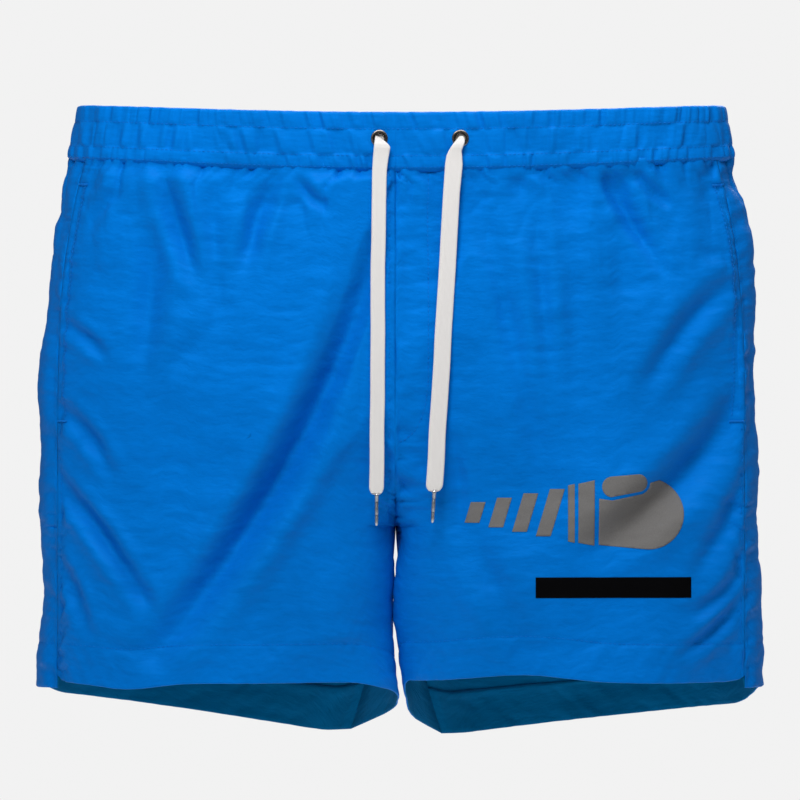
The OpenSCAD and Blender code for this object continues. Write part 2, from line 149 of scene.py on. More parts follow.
@dataclass(frozen=True)
class Form:
    """The filled form of the shorts, in metres, by the CAD's rules but with softer inner thighs."""

    waist_w: float = 0.438
    band_foot_w: float = 0.453
    hip_w: float = 0.493
    waist_depth: float = 0.092
    hip_drop: float = 0.195
    front_fill: float = 0.004
    seat_fill: float = 0.010
    crotch_d: float = 0.288
    front_hem_d: float = 0.393
    back_hem_d: float = 0.427
    back_low_x: float = 0.041
    leg_gap: float = 0.004
    hem_h: float = 0.026
    centre_x: float = -0.004
    side_w: float = 25 / 90
    inseam_wrap: float = 0.45
    band_h: float = 0.037
    band_t: float = 0.0064
    band_sag: float = 0.006
    foot_sag: float = 0.003
    front_curve: float = 0.088
    back_curve: float = 0.140
    tuck_d: float = 0.033
    pocket_top_d: float = 0.054
    pocket_len: float = 0.160
    fly_w: float = 0.022
    fly_foot_d: float = 0.229
    fly_bend: float = 0.045

    @property
    def pocket_foot_d(self) -> float:
        """Depth of the foot of the pocket openings."""
        return self.pocket_top_d + self.pocket_len

    def half_w(self, d: np.ndarray) -> np.ndarray:
        """Half the width at depth d."""
        band = self.waist_w / 2 + (self.band_foot_w - self.waist_w) / 2 * d / self.band_h
        flare = np.clip(1 - (d - self.band_h) / self.hip_drop, 0, None) ** 3
        return np.where(d < self.band_h, band, self.hip_w / 2 - (self.hip_w - self.band_foot_w) / 2 * flare)

    def half_depth(self, back: np.ndarray, d: np.ndarray) -> np.ndarray:
        """Half the depth in front or behind at depth d."""
        fill = np.where(back, self.seat_fill, self.front_fill)
        return self.waist_depth / 2 + fill * ease((d - self.band_h) / 0.12)

    def centre_depth(self, back: np.ndarray, d: np.ndarray, off: np.ndarray) -> np.ndarray:
        """How far the centre seam stands from the middle plane."""
        full, foot = self.half_depth(back, d) + off, self.crotch_d + off
        curve = np.where(back, self.back_curve, self.front_curve)
        t = np.clip((d - foot + curve) / curve, 0, 1)
        return full * np.sqrt(1 - t * t)

    def inner_x(self, d: np.ndarray, off: np.ndarray) -> np.ndarray:
        """How far the inner leg stands from the centre seam's plane."""
        near, far = ease((d - self.crotch_d) / 0.02), ease((d - self.crotch_d - 0.07) / 0.05)
        gap = self.leg_gap / 2 * (0.2 * near + 0.8 * far) - off
        return np.where(d < self.crotch_d + off, 0.0, np.clip(gap, 0, None))

    def sag(self, d: np.ndarray) -> np.ndarray:
        """How far the middle of the front and back hangs below the sides."""
        band = self.band_sag + self.foot_sag * d / self.band_h
        below = (self.band_sag + self.foot_sag) * (1 - ease((d - self.band_h) / (self.crotch_d - self.band_h)))
        return np.where(d < self.band_h, band, below)

    def wall(self, side: Side, w: np.ndarray, d: np.ndarray, off: np.ndarray = 0.0) -> np.ndarray:
        """Points on the wall of one half.

        Args:
            side: which half.
            w: place round the half: 0 at the side, 1 before the leg's middle, 2 at the centre, negative behind.
            d: depth below the waist.
            off: distance outwards from the middle of the cloth.

        Returns:
            Points in metres, with x, y and z last.
        """
        w, d, off = np.broadcast_arrays(np.asarray(w, float), np.asarray(d, float), np.asarray(off, float))
        turn = np.where(w > 2, w - 4, w)
        back, v = turn < 0, np.abs(turn)
        a = np.radians(90.0) * np.where(v > 1, v - 1, v)
        half = self.half_w(d)
        span = half - side.value * self.centre_x
        mid, deep = span / 2, self.half_depth(back, d) + off
        x = np.where(v > 1, mid - (mid - self.inner_x(d, off)) * np.sin(a), mid + (span + off - mid) * np.cos(a))
        soft = ease((np.radians(90.0) - a) / np.radians(40.0))
        centre = self.centre_depth(back, d, off) * (1 - soft) + deep * (1 - ease((d - 0.185) / 0.175)) * soft
        y = np.where(v > 1, centre + (deep - centre) * np.cos(a), deep * np.sin(a))
        px = self.centre_x + side.value * x
        dip = self.sag(d) * (1 - (px / half) ** 2)
        return np.stack([px, np.where(back, y, -y), -d - dip], axis=-1)

    def front_w(self, side: Side, x: np.ndarray, d: np.ndarray) -> np.ndarray:
        """The w of the front wall at a distance x from the centre seam."""
        mid = (self.half_w(d) - side.value * self.centre_x) / 2
        inner = self.inner_x(d, 0.0)
        near = 1 + np.arcsin(np.clip((mid - x) / (mid - inner), -1, 1)) / np.radians(90)
        far = np.arccos(np.clip((x - mid) / mid, -1, 1)) / np.radians(90)
        return np.where(x < mid, near, far)

    def hem_d(self, side: Side, w: np.ndarray) -> np.ndarray:
        """Depth of the hem at w: light waves in front, lowest behind near the inner leg."""
        turn = np.where(w < 0, w + 4, w)
        x = (self.wall(side, turn, self.front_hem_d)[..., 0] - self.centre_x) * side.value
        if side is Side.LEFT:
            front = self.front_hem_d - 0.0055 * bell((x - 0.085) / 0.045)
            corner, slope, low, fall = 0.4120, 1.0, 0.0050, 0.115
        else:
            front = self.front_hem_d + 0.0065 * bell(x / 0.018) + 0.0040 * bell((x - 0.182) / 0.026)
            corner, slope, low, fall = 0.4136, 0.72, 0.0035, 0.150
        inner = corner + slope * (x - 0.0035)
        outer = self.back_hem_d + low - fall * (x - self.back_low_x)
        back = -0.006 * np.log(np.exp(-inner / 0.006) + np.exp(-outer / 0.006))
        return front + (back - front) * ease((turn - 1.80) / 0.40) * ease((4 - turn) / 0.35)

    def vent_d(self, face: Face, w: np.ndarray) -> np.ndarray:
        """How much lower than the hem line each side of the open vent ends."""
        if face is Face.FRONT:
            return -0.0045 * np.exp(-np.clip(w - self.side_w, 0, None) / 0.047)
        return 0.0040 * ease((w + 0.2) / 0.3)

    def fly_x(self, d: np.ndarray) -> np.ndarray:
        """Distance of the fly stitching from the centre seam at depth d."""
        t = np.clip((d - self.fly_foot_d + self.fly_bend) / self.fly_bend, 0, 1)
        return 0.0015 + (self.fly_w - 0.0015) * np.sqrt(1 - t * t)


@dataclass(frozen=True)
class Fold:
    """A soft valley in the cloth, along a curve seen from the front.

    Attributes:
        start, via, end: x and z of the curve's ends and of the point that pulls it.
        width: half the valley's width.
        depth: how deep the valley is.
    """

    start: tuple[float, float]
    via: tuple[float, float]
    end: tuple[float, float]
    width: float
    depth: float

    def rise(self, points: np.ndarray) -> np.ndarray:
        """How far the fold moves each point outwards, negative in the valley.

        Args:
            points: a grid of points.

        Returns:
            One distance for each point.
        """
        t = np.linspace(0, 1, 160)[:, None]
        a, b, c = (np.array(p) for p in (self.start, self.via, self.end))
        line = (1 - t) ** 2 * a + 2 * t * (1 - t) * b + t ** 2 * c
        flat = points[..., (0, 2)].reshape(-1, 2)
        gap = flat[:, None, :] - line[None, :, :]
        near = np.argmin(np.square(gap).sum(-1), axis=1)
        along = np.gradient(line, axis=0)[near]
        along /= np.linalg.norm(along, axis=1, keepdims=True)
        off = gap[np.arange(len(flat)), near]
        across = off[:, 0] * along[:, 1] - off[:, 1] * along[:, 0]
        lengthwise = np.abs((off * along).sum(1))
        share = near / (len(line) - 1)
        fade = np.sin(np.pi * np.clip(share * 0.9 + 0.05, 0, 1)) ** 0.7 * bell(lengthwise / self.width)
        profile = -bell(across / self.width) + 0.4 * bell((np.abs(across) - 2.1 * self.width) / self.width)
        return (1.9 * self.depth * profile * fade).reshape(points.shape[:-1])


RIGHT_FOLDS = (
    Fold((-0.018, -0.095), (-0.052, -0.238), (-0.168, -0.374), 0.0100, 0.0078),
    Fold((-0.238, -0.255), (-0.205, -0.285), (-0.170, -0.345), 0.0050, 0.0030),
    Fold((-0.231, -0.150), (-0.215, -0.155), (-0.200, -0.172), 0.0040, 0.0016),
    Fold((-0.233, -0.208), (-0.215, -0.215), (-0.197, -0.252), 0.0045, 0.0020),
    Fold((-0.236, -0.310), (-0.222, -0.325), (-0.212, -0.360), 0.0040, 0.0018),
    Fold((-0.160, -0.048), (-0.155, -0.080), (-0.137, -0.122), 0.0060, 0.0030),
    Fold((-0.190, -0.050), (-0.200, -0.070), (-0.213, -0.082), 0.0045, 0.0014),
    Fold((-0.068, -0.052), (-0.066, -0.062), (-0.048, -0.072), 0.0035, 0.0018),
    Fold((-0.085, -0.046), (-0.094, -0.070), (-0.108, -0.110), 0.0060, 0.0026),
    Fold((-0.128, -0.046), (-0.130, -0.085), (-0.122, -0.150), 0.0060, 0.0012),
    Fold((-0.170, -0.090), (-0.171, -0.130), (-0.176, -0.190), 0.0085, 0.0024),
    Fold((-0.120, -0.150), (-0.150, -0.165), (-0.170, -0.200), 0.0070, 0.0008),
)
LEFT_FOLDS = (
    Fold((0.232, -0.200), (0.205, -0.255), (0.128, -0.305), 0.0110, 0.0052),
    Fold((0.228, -0.120), (0.195, -0.140), (0.165, -0.195), 0.0070, 0.0026),
    Fold((0.088, -0.050), (0.094, -0.110), (0.100, -0.205), 0.0055, 0.0015),
    Fold((0.050, -0.048), (0.070, -0.140), (0.098, -0.255), 0.0075, 0.0018),
    Fold((0.138, -0.047), (0.150, -0.070), (0.178, -0.112), 0.0050, 0.0026),
    Fold((0.162, -0.046), (0.166, -0.058), (0.184, -0.068), 0.0035, 0.0020),
    Fold((0.190, -0.374), (0.214, -0.362), (0.238, -0.332), 0.0045, 0.0020),
    Fold((0.200, -0.345), (0.218, -0.340), (0.238, -0.312), 0.0045, 0.0016),
    Fold((0.046, -0.290), (0.062, -0.325), (0.084, -0.372), 0.0085, 0.0018),
    Fold((0.034, -0.225), (0.042, -0.260), (0.036, -0.300), 0.0045, 0.0012),
    Fold((0.110, -0.100), (0.120, -0.130), (0.118, -0.170), 0.0070, 0.0009),
    Fold((0.236, -0.262), (0.222, -0.290), (0.200, -0.320), 0.0060, 0.0018),
)


def refine(grid: np.ndarray) -> np.ndarray:
    """Doubles a grid of points in both directions, on smooth curves.

    Args:
        grid: rows and columns of points.

    Returns:
        A grid with one new point between each two old ones.
    """
    for axis in (0, 1):
        g = np.moveaxis(grid, axis, 0)
        ends = np.concatenate([2 * g[:1] - g[1:2], g, 2 * g[-1:] - g[-2:-1]])
        middle = (9 * (ends[1:-2] + ends[2:-1]) - (ends[:-3] + ends[3:])) / 16
        out = np.empty((2 * len(g) - 1,) + g.shape[1:])
        out[0::2], out[1::2] = g, middle
        grid = np.moveaxis(out, 0, axis)
    return grid


def grid_normals(points: np.ndarray, outward: np.ndarray) -> np.ndarray:
    """Unit normals of a grid, on the side that outward points to.

    Args:
        points: rows and columns of points.
        outward: a rough outward direction for each point.

    Returns:
        One unit vector for each point.
    """
    n = np.cross(np.gradient(points, axis=1), np.gradient(points, axis=0))
    n /= np.linalg.norm(n, axis=-1, keepdims=True) + 1e-12
    return n * np.where((n * outward).sum(-1, keepdims=True) < 0, -1.0, 1.0)


def lengths(points: np.ndarray, axis: int) -> np.ndarray:
    """Distance travelled along each row (axis 1) or column (axis 0) of a grid."""
    step = np.linalg.norm(np.diff(points, axis=axis), axis=-1)
    return np.concatenate([np.zeros_like(np.take(step, [0], axis)), np.cumsum(step, axis=axis)], axis=axis)


def linked(name: str, mesh: bpy.types.Mesh) -> bpy.types.Object:
    """Puts a mesh in the scene as a smooth-shaded object at the origin."""
    obj = bpy.data.objects.new(name, mesh)
    bpy.context.scene.collection.objects.link(obj)
    mesh.shade_smooth()
    return obj


def mesh_from(bm: bmesh.types.BMesh, name: str) -> bpy.types.Object:
    """Turns a bmesh into an object and frees it."""
    mesh = bpy.data.meshes.new(name)
    bm.to_mesh(mesh)
    bm.free()
    return linked(name, mesh)


def add_uv(obj: bpy.types.Object, uv: np.ndarray) -> None:
    """Gives an object a UV map, in metres of cloth, from one pair for each vertex."""
    mesh = obj.data
    index = np.empty(len(mesh.loops), int)
    mesh.loops.foreach_get("vertex_index", index)
    layer = mesh.uv_layers.new(name=CLOTH_UV)
    layer.data.foreach_set("uv", uv.reshape(-1, 2)[index].astype(np.float32).ravel())


def sheet_object(name: str, points: np.ndarray, outward: np.ndarray,
                 uv: np.ndarray | None = None) -> bpy.types.Object:
    """Makes one sheet of cloth from a grid of points.

    Args:
        name: the object's name.
        points: rows and columns of points.
        outward: a direction for each point that its face should look along.
        uv: the cloth's own coordinates, or None to measure them.

    Returns:
        The object, with no thickness yet.
    """
    rows, cols = points.shape[:2]
    if uv is None:
        uv = np.stack([lengths(points, 1), lengths(points, 0)], axis=-1)
    bm = bmesh.new()
    bmesh.ops.create_grid(bm, x_segments=cols - 1, y_segments=rows - 1, size=1.0)
    for vert, place in zip(bm.verts, points.reshape(-1, 3)):
        vert.co = place
    bm.normal_update()
    bm.verts.index_update()
    bm.faces.ensure_lookup_table()
    middle = bm.faces[len(bm.faces) // 2]
    guide = outward.reshape(-1, 3)[middle.verts[0].index]
    if middle.normal.dot(Vector(guide)) < 0:
        bmesh.ops.reverse_faces(bm, faces=bm.faces)
    obj = mesh_from(bm, name)
    add_uv(obj, uv)
    return obj


def weld(obj: bpy.types.Object, gap: float = 1e-6, cap: bool = False) -> None:
    """Joins a piece's doubled points, caps its open ends if asked to, and turns its faces outwards."""
    bm = bmesh.new()
    bm.from_mesh(obj.data)
    bmesh.ops.remove_doubles(bm, verts=bm.verts, dist=gap)
    if cap:
        bmesh.ops.holes_fill(bm, edges=[e for e in bm.edges if e.is_boundary], sides=0)
    bmesh.ops.recalc_face_normals(bm, faces=bm.faces)
    bm.to_mesh(obj.data)
    bm.free()


def lathe(points: Sequence[tuple[float, float, float]], axis: tuple[int, int, int], steps: int,
          closed: bool) -> bmesh.types.BMesh:
    """Spins a profile round an axis through the origin.

    Args:
        points: the profile.
        axis: the axis's direction.
        steps: how many copies go round.
        closed: whether the last point joins the first.

    Returns:
        The spun mesh, which the caller frees.
    """
    bm = bmesh.new()
    ring = [bm.verts.new(p) for p in points]
    edges = [bm.edges.new(pair) for pair in zip(ring, ring[1:] + (ring[:1] if closed else []))]
    bmesh.ops.spin(bm, geom=ring + edges, axis=axis, cent=(0, 0, 0), angle=math.radians(360), steps=steps,
                   use_merge=True)
    bmesh.ops.remove_doubles(bm, verts=bm.verts, dist=1e-6)
    return bm


def lay_bar(bm: bmesh.types.BMesh, centre: Vector, along: Vector, across: Vector, up: Vector) -> None:
    """Adds a small rounded bar of thread, from its middle and its three half axes."""
    matrix = Matrix((along, across, up)).transposed().to_4x4()
    matrix.translation = centre
    bmesh.ops.create_uvsphere(bm, u_segments=6, v_segments=4, radius=1.0,
                              matrix=matrix @ Matrix.Rotation(math.radians(90), 4, "Y"))


def thicken(obj: bpy.types.Object, thickness: float) -> None:
    """Gives a sheet its thickness, inwards from its face."""
    solid = obj.modifiers.new("thickness", "SOLIDIFY")
    solid.thickness, solid.offset = thickness, -1.0
    solid.use_even_offset = False


def line_inside(obj: bpy.types.Object, material: bpy.types.Material, rows_out: int, cols: int) -> None:
    """Gives the inner wall of a thickened sheet, and the part turned up behind it, a darker, less blue copy of the
    nylon: painted shade.

    Args:
        obj: a grid of cloth with its thickness.
        material: the darker copy of the nylon, painted shade for the inner wall.
        rows_out: how many rows of points are the outer face.
        cols: how many points each row has.
    """
    obj.data.materials.append(material)
    obj.modifiers["thickness"].material_offset = 1
    turned = (rows_out + 2) * cols
    for face in obj.data.polygons:
        if min(face.vertices) >= turned:
            face.material_index = 1


@dataclass
class Layout:
    """Where each point of one panel lies on the form, by its w and d."""

    w: np.ndarray
    d: np.ndarray


@dataclass(frozen=True)
class Settling:
    """How the short cloth simulation is set, and how far it may move the cloth."""

    frames: int = 12
    quality: int = 5
    mass: float = 0.10
    stretch: float = 12.0
    shear: float = 4.0
    bend: float = 0.06
    damping: float = 5.0
    air: float = 3.0
    pin_stiffness: float = 0.6
    growth: float = 0.005
    growth_run: float = 0.02
    hold: float = 0.30
    band_hold_d: float = 0.006
    inseam_hold: float = 0.95
    inseam_half_w: float = 0.024
    travel_limit: float = 0.003


@dataclass
class Drape:
    """Lays the four panels on the form, folds them and lets them relax."""

    form: Form
    settling: Settling = Settling()
    cols: int = 82
    body_step: float = 0.0034
    crotch_steps: int = 26
    grids: dict = field(default_factory=dict)
    layouts: dict = field(default_factory=dict)

    def layout(self, side: Side, face: Face) -> Layout:
        """Places one panel's rows and columns on the form."""
        form = self.form
        curve_top = form.crotch_d - form.front_curve
        body = np.arange(form.tuck_d, curve_top - self.body_step / 2, self.body_step)
        turn = np.radians(np.linspace(0, 90, self.crotch_steps + 1))
        crotch = form.crotch_d - form.front_curve * (1 - np.sin(turn))
        steps = np.minimum(0.0004 * 1.4 ** np.arange(37), self.body_step)
        share = np.concatenate([np.zeros(len(body) + len(crotch)), np.cumsum(steps) / steps.sum()])
        depth = np.concatenate([body, crotch, np.zeros(len(steps))])
        ends = (-2.0, form.side_w) if face is Face.BACK else (form.side_w, 2.0)
        fine = np.linspace(*ends, 400)
        run = lengths(form.wall(side, fine, np.full(400, 0.2))[None], 1)[0]
        even = np.interp(np.linspace(0, run[-1], self.cols), run, fine)
        g = (even - ends[0]) / (ends[1] - ends[0])
        seam = 2 + form.inseam_wrap * share
        first = seam - 4 if face is Face.BACK else np.full_like(seam, form.side_w)
        last = np.full_like(seam, form.side_w) if face is Face.BACK else seam
        w = first[:, None] + (last - first)[:, None] * g[None, :]
        leg = share[:, None]
        low = form.crotch_d + (form.hem_d(side, w) - form.crotch_d) * leg
        low = low + form.vent_d(face, w) * ease((leg - 0.8) / 0.2)
        return Layout(w, np.where(leg > 0, low, depth[:, None]))

    def soft_folds(self, side: Side, face: Face, points: np.ndarray, lay: Layout) -> np.ndarray:
        """Outward movement that the gathers and the folds give each point."""
        noise = Noise(11 + side.value + 5 * face.value)
        x, d = points[..., 0], lay.d - self.form.band_h
        below, fade = ease(d / 0.010), np.exp(-np.clip(d, 0, None) / 0.060)
        fall = noise(x / 0.019, d / 0.20 + 7) + 0.6 * noise(x / 0.010 + 3, d / 0.09)
        rise = 0.0036 * fall * below * fade + 0.0012 * below * fade
        rise += 0.0040 * noise((x + 0.4 * d) / 0.045 + 2, d / 0.075 + 5) * below
        rise += 0.0006 * noise(x / 0.022 + 4 + d / 0.05, d / 0.016) * below
        folds = () if face is Face.BACK else LEFT_FOLDS if side is Side.LEFT else RIGHT_FOLDS
        for fold in folds:
            rise += fold.rise(points)
        if face is Face.BACK:
            rise += 0.0022 * noise(x / 0.05 + 9, d / 0.16) * below
        return rise

    def arrange(self) -> None:
        """Lays out the four panels with their folds."""
        for side in Side:
            for face in Face:
                lay = self.layout(side, face)
                points = self.form.wall(side, lay.w, lay.d)
                outward = self.form.wall(side, lay.w, lay.d, 0.001) - points
                normals = grid_normals(points, outward)
                cols = np.arange(points.shape[1])
                edge = np.minimum(cols, cols[::-1]) / 3.0
                rise = self.soft_folds(side, face, points, lay) * ease(edge)[None, :]
                rise *= ease(np.arange(points.shape[0]) / 3.0)[:, None]
                self.layouts[side, face] = lay
                self.grids[side, face] = points + normals * rise[..., None]

    def relax(self) -> None:
        """Lets the sewn panels settle under gravity in a short cloth simulation."""
        keys, settling = list(self.grids), self.settling
        bm = bmesh.new()
        for key in keys:
            grid = self.grids[key]
            rows, cols = grid.shape[:2]
            before = len(bm.verts)
            bmesh.ops.create_grid(bm, x_segments=cols - 1, y_segments=rows - 1, size=1.0)
            bm.verts.ensure_lookup_table()
            for vert, place in zip(bm.verts[before:], grid.reshape(-1, 3)):
                vert.co = place
        everything = np.concatenate([self.grids[k].reshape(-1, 3) for k in keys])
        bmesh.ops.remove_doubles(bm, verts=bm.verts, dist=2e-4)
        bmesh.ops.recalc_face_normals(bm, faces=bm.faces)
        obj = mesh_from(bm, "cloth_at_rest")
        rest = np.empty(len(obj.data.vertices) * 3)
        obj.data.vertices.foreach_get("co", rest)
        rest = rest.reshape(-1, 3)
        pins = obj.vertex_groups.new(name="held")
        loose = obj.vertex_groups.new(name="loose")
        depth = -rest[:, 2] - self.form.band_h
        inseam = settling.inseam_hold * bell((rest[:, 0] - self.form.centre_x) / settling.inseam_half_w)
        for i in range(len(rest)):
            held = 1.0 if depth[i] < settling.band_hold_d else float(max(settling.hold, inseam[i]))
            pins.add([i], held, "REPLACE")
            loose.add([i], float(np.clip(depth[i] / settling.growth_run, 0, 1)), "REPLACE")
        cloth = obj.modifiers.new("cloth", "CLOTH")
        s = cloth.settings
        s.quality, s.mass = settling.quality, settling.mass
        s.tension_stiffness = s.compression_stiffness = settling.stretch
        s.shear_stiffness, s.bending_stiffness = settling.shear, settling.bend
        s.tension_damping = s.compression_damping = settling.damping
        s.air_damping = settling.air
        s.vertex_group_mass, s.pin_stiffness = "held", settling.pin_stiffness
        s.vertex_group_shrink, s.shrink_min, s.shrink_max = "loose", 0.0, -settling.growth
        cloth.collision_settings.use_self_collision = False
        cloth.collision_settings.use_collision = False
        cloth.point_cache.frame_end = settling.frames
        scene = bpy.context.scene
        for number in range(1, settling.frames + 1):
            scene.frame_set(number)
        shaped = obj.evaluated_get(bpy.context.evaluated_depsgraph_get()).to_mesh()
        moved = np.empty(len(rest) * 3)
        shaped.vertices.foreach_get("co", moved)
        travel = moved.reshape(-1, 3) - rest
        reach = np.linalg.norm(travel, axis=1, keepdims=True)
        travel *= settling.travel_limit / (settling.travel_limit + reach)
        kept = np.linalg.norm(travel, axis=1)
        LOG.info("cloth settled: mean travel %.2f mm, most %.2f mm", kept.mean() / MM, kept.max() / MM)
        tree = KDTree(len(rest))
        for i, place in enumerate(rest):
            tree.insert(place, i)
        tree.balance()
        found = np.array([tree.find(p)[1] for p in everything])
        shift, start = travel[found], 0
        for key in keys:
            grid = self.grids[key]
            count = grid.shape[0] * grid.shape[1]
            self.grids[key] = grid + shift[start:start + count].reshape(grid.shape)
            start += count
        scene.frame_set(1)
        bpy.data.objects.remove(obj)


def new_material(name: str) -> bpy.types.Material:
    """An empty material with a Principled shader."""
    material = bpy.data.materials.new(name)
    material.use_nodes = True
    return material


class Nodes:
    """Short hand for building one material's node tree."""

    def __init__(self, material: bpy.types.Material) -> None:
        """Takes the tree of a material.

        Args:
            material: a material that uses nodes.
        """
        self.tree = material.node_tree
        self.shader = next(n for n in self.tree.nodes if n.type == "BSDF_PRINCIPLED")

    def add(self, kind: str, inputs: dict | None = None, **settings: object) -> bpy.types.Node:
        """Adds a node.

        Args:
            kind: the node's type name.
            inputs: values or sockets for its inputs, by name or number.
            settings: the node's own settings.

        Returns:
            The node.
        """
        node = self.tree.nodes.new(kind)
        for key, value in settings.items():
            setattr(node, key, value)
        for key, value in (inputs or {}).items():
            if isinstance(value, bpy.types.NodeSocket):
                self.tree.links.new(value, node.inputs[key])
            else:
                node.inputs[key].default_value = value
        return node

    def cloth_vector(self, scale: Sequence[float], uv: bool = True) -> bpy.types.NodeSocket:
        """Cloth coordinates in metres, or the object's own, times a scale.

        Args:
            scale: how many cells a metre, along each axis.
            uv: whether to read the piece's UV map.

        Returns:
            The vector's socket.
        """
        source = (self.add("ShaderNodeUVMap", uv_map=CLOTH_UV).outputs["UV"] if uv
                  else self.add("ShaderNodeTexCoord").outputs["Object"])
        return self.add("ShaderNodeMapping", {"Vector": source, "Scale": tuple(scale)}).outputs["Vector"]

    def noise(self, vector: bpy.types.NodeSocket, detail: float = 3.0, rough: float = 0.55) -> bpy.types.NodeSocket:
        """Noise on a vector, one cell wide."""
        node = self.add("ShaderNodeTexNoise", {"Vector": vector, "Scale": 1.0, "Detail": detail, "Roughness": rough})
        return node.outputs["Fac"]

    def maths(self, operation: str, a: object, b: object, c: object = 0.0) -> bpy.types.NodeSocket:
        """A sum, product or other operation on two or three values."""
        return self.add("ShaderNodeMath", {0: a, 1: b, 2: c}, operation=operation).outputs[0]

    def ramp(self, value: bpy.types.NodeSocket, low: float, high: float, to_low: float,
             to_high: float) -> bpy.types.NodeSocket:
        """Maps a value from one range to another."""
        return self.add("ShaderNodeMapRange", {"Value": value, "From Min": low, "From Max": high,
                                               "To Min": to_low, "To Max": to_high}).outputs["Result"]

    def mixed(self, factor: object, a: object, b: object) -> bpy.types.NodeSocket:
        """A blend of two colours."""
        node = self.add("ShaderNodeMix", data_type="RGBA")
        for socket, value in ((node.inputs[0], factor), (node.inputs[6], a), (node.inputs[7], b)):
            if isinstance(value, bpy.types.NodeSocket):
                self.tree.links.new(value, socket)
            else:
                socket.default_value = value
        return node.outputs[2]

    def bump(self, height: bpy.types.NodeSocket, distance: float, strength: float = 1.0,
             under: bpy.types.NodeSocket | None = None) -> bpy.types.NodeSocket:
        """Relief from a height of 0 to 1 over a distance in metres."""
        inputs = {"Height": height, "Distance": distance, "Strength": strength}
        if under is not None:
            inputs["Normal"] = under
        return self.add("ShaderNodeBump", inputs).outputs["Normal"]

    def finish(self, **sockets: object) -> None:
        """Sets or links the shader's sockets, with _ for a space in their names."""
        for key, value in sockets.items():
            socket = self.shader.inputs[key.replace("_", " ")]
            if isinstance(value, bpy.types.NodeSocket):
                self.tree.links.new(value, socket)
            else:
                socket.default_value = value


def rgba(colour: Sequence[float], gain: float = 1.0) -> tuple[float, float, float, float]:
    """A linear colour times a gain, with full alpha."""
    return tuple(min(1.0, c * gain) for c in colour) + (1.0,)


@dataclass(frozen=True)
class NylonFinish:
    """Crinkled nylon: fine crosswise slubs, a tight weave and a soft sheen, its colour darker in the slub valleys as
    painted shade and varying at random in tone.
    """

    name: str
    colour: tuple[float, float, float]
    slub_depth: float = 0.00042
    weave_depth: float = 0.00003
    threads: float = 520.0
    roughness: float = 0.50
    sheen: float = 0.05
    gloss: tuple[float, float, float] = (0.0, 0.30, 1.0)

    def material(self) -> bpy.types.Material:
        """Builds the material."""
        material = new_material(self.name)
        n = Nodes(material)
        slub = n.noise(n.cloth_vector((105, 330, 1)), 5.0, 0.62)
        crease = n.noise(n.cloth_vector((38, 150, 1)), 3.0, 0.5)
        cloud = n.noise(n.cloth_vector((14, 11, 1)), 2.0)
        straight = n.cloth_vector((1, 1, 1))
        warp, weft = (n.add("ShaderNodeTexWave", {"Vector": straight, "Scale": self.threads, "Distortion": 0.4},
                            bands_direction=way).outputs["Fac"] for way in ("X", "Y"))
        weave = n.maths("MULTIPLY", warp, weft)
        # Half the slub relief, so its valleys are darker as painted shade, and half a random cloud of tone.
        tone_and_groove_shade = n.maths("ADD", n.maths("MULTIPLY", slub, 0.5), n.maths("MULTIPLY", cloud, 0.5))
        colour = n.mixed(n.ramp(tone_and_groove_shade, 0.3, 0.7, 0.0, 1.0), rgba(self.colour, 0.86), rgba(self.colour, 1.12))
        relief = n.bump(crease, self.slub_depth * 1.6, 0.8)
        relief = n.bump(slub, self.slub_depth, 0.9, relief)
        relief = n.bump(weave, self.weave_depth, 0.6, relief)
        n.finish(Base_Color=colour, Roughness=n.ramp(slub, 0.3, 0.7, self.roughness - 0.06, self.roughness + 0.08),
                 Normal=relief, Sheen_Weight=self.sheen, Sheen_Roughness=0.45, Sheen_Tint=rgba(self.gloss),
                 Specular_IOR_Level=0.5, Specular_Tint=rgba(self.gloss))
        return material


@dataclass(frozen=True)
class BraidFinish:
    """Flat woven braid: fine lengthwise ribs crossed by small picks, along the cord's own length, coloured darker in
    their grooves as painted shade.
    """

    name: str
    colour: tuple[float, float, float]
    strand: float = 2600.0

    def material(self) -> bpy.types.Material:
        """Builds the material."""
        material = new_material(self.name)
        n = Nodes(material)
        straight = n.cloth_vector((1, 1, 1))
        rib, pick = (n.add("ShaderNodeTexWave", {"Vector": straight, "Scale": self.strand * share, "Distortion": 0.8,
                                                 "Detail Scale": 3.0}, bands_direction=way).outputs["Fac"]
                     for way, share in (("X", 0.16), ("Y", 0.22)))
        plait = n.maths("ADD", n.maths("MULTIPLY", rib, 0.7), n.maths("MULTIPLY", pick, 0.3))
        fuzz = n.noise(n.cloth_vector((900, 900, 1)), 2.0)
        dirt = n.noise(n.cloth_vector((60, 25, 1)), 3.0)
        # The colour is darker in the plait's grooves, a painted shade, and in random patches of dirt.
        tone_and_groove_shade = n.maths("MULTIPLY", n.ramp(plait, 0.2, 1.0, 0.0, 1.0), n.ramp(dirt, 0.2, 0.8, 0.8, 1.1))
        colour = n.mixed(tone_and_groove_shade, rgba(self.colour, 0.90), rgba(self.colour, 1.03))
        relief = n.bump(plait, 0.00012, 0.6)
        relief = n.bump(fuzz, 0.00005, 0.5, relief)
        n.finish(Base_Color=colour, Roughness=0.82, Normal=relief, Sheen_Weight=0.25, Sheen_Roughness=0.5,
                 Specular_IOR_Level=0.2)
        return material


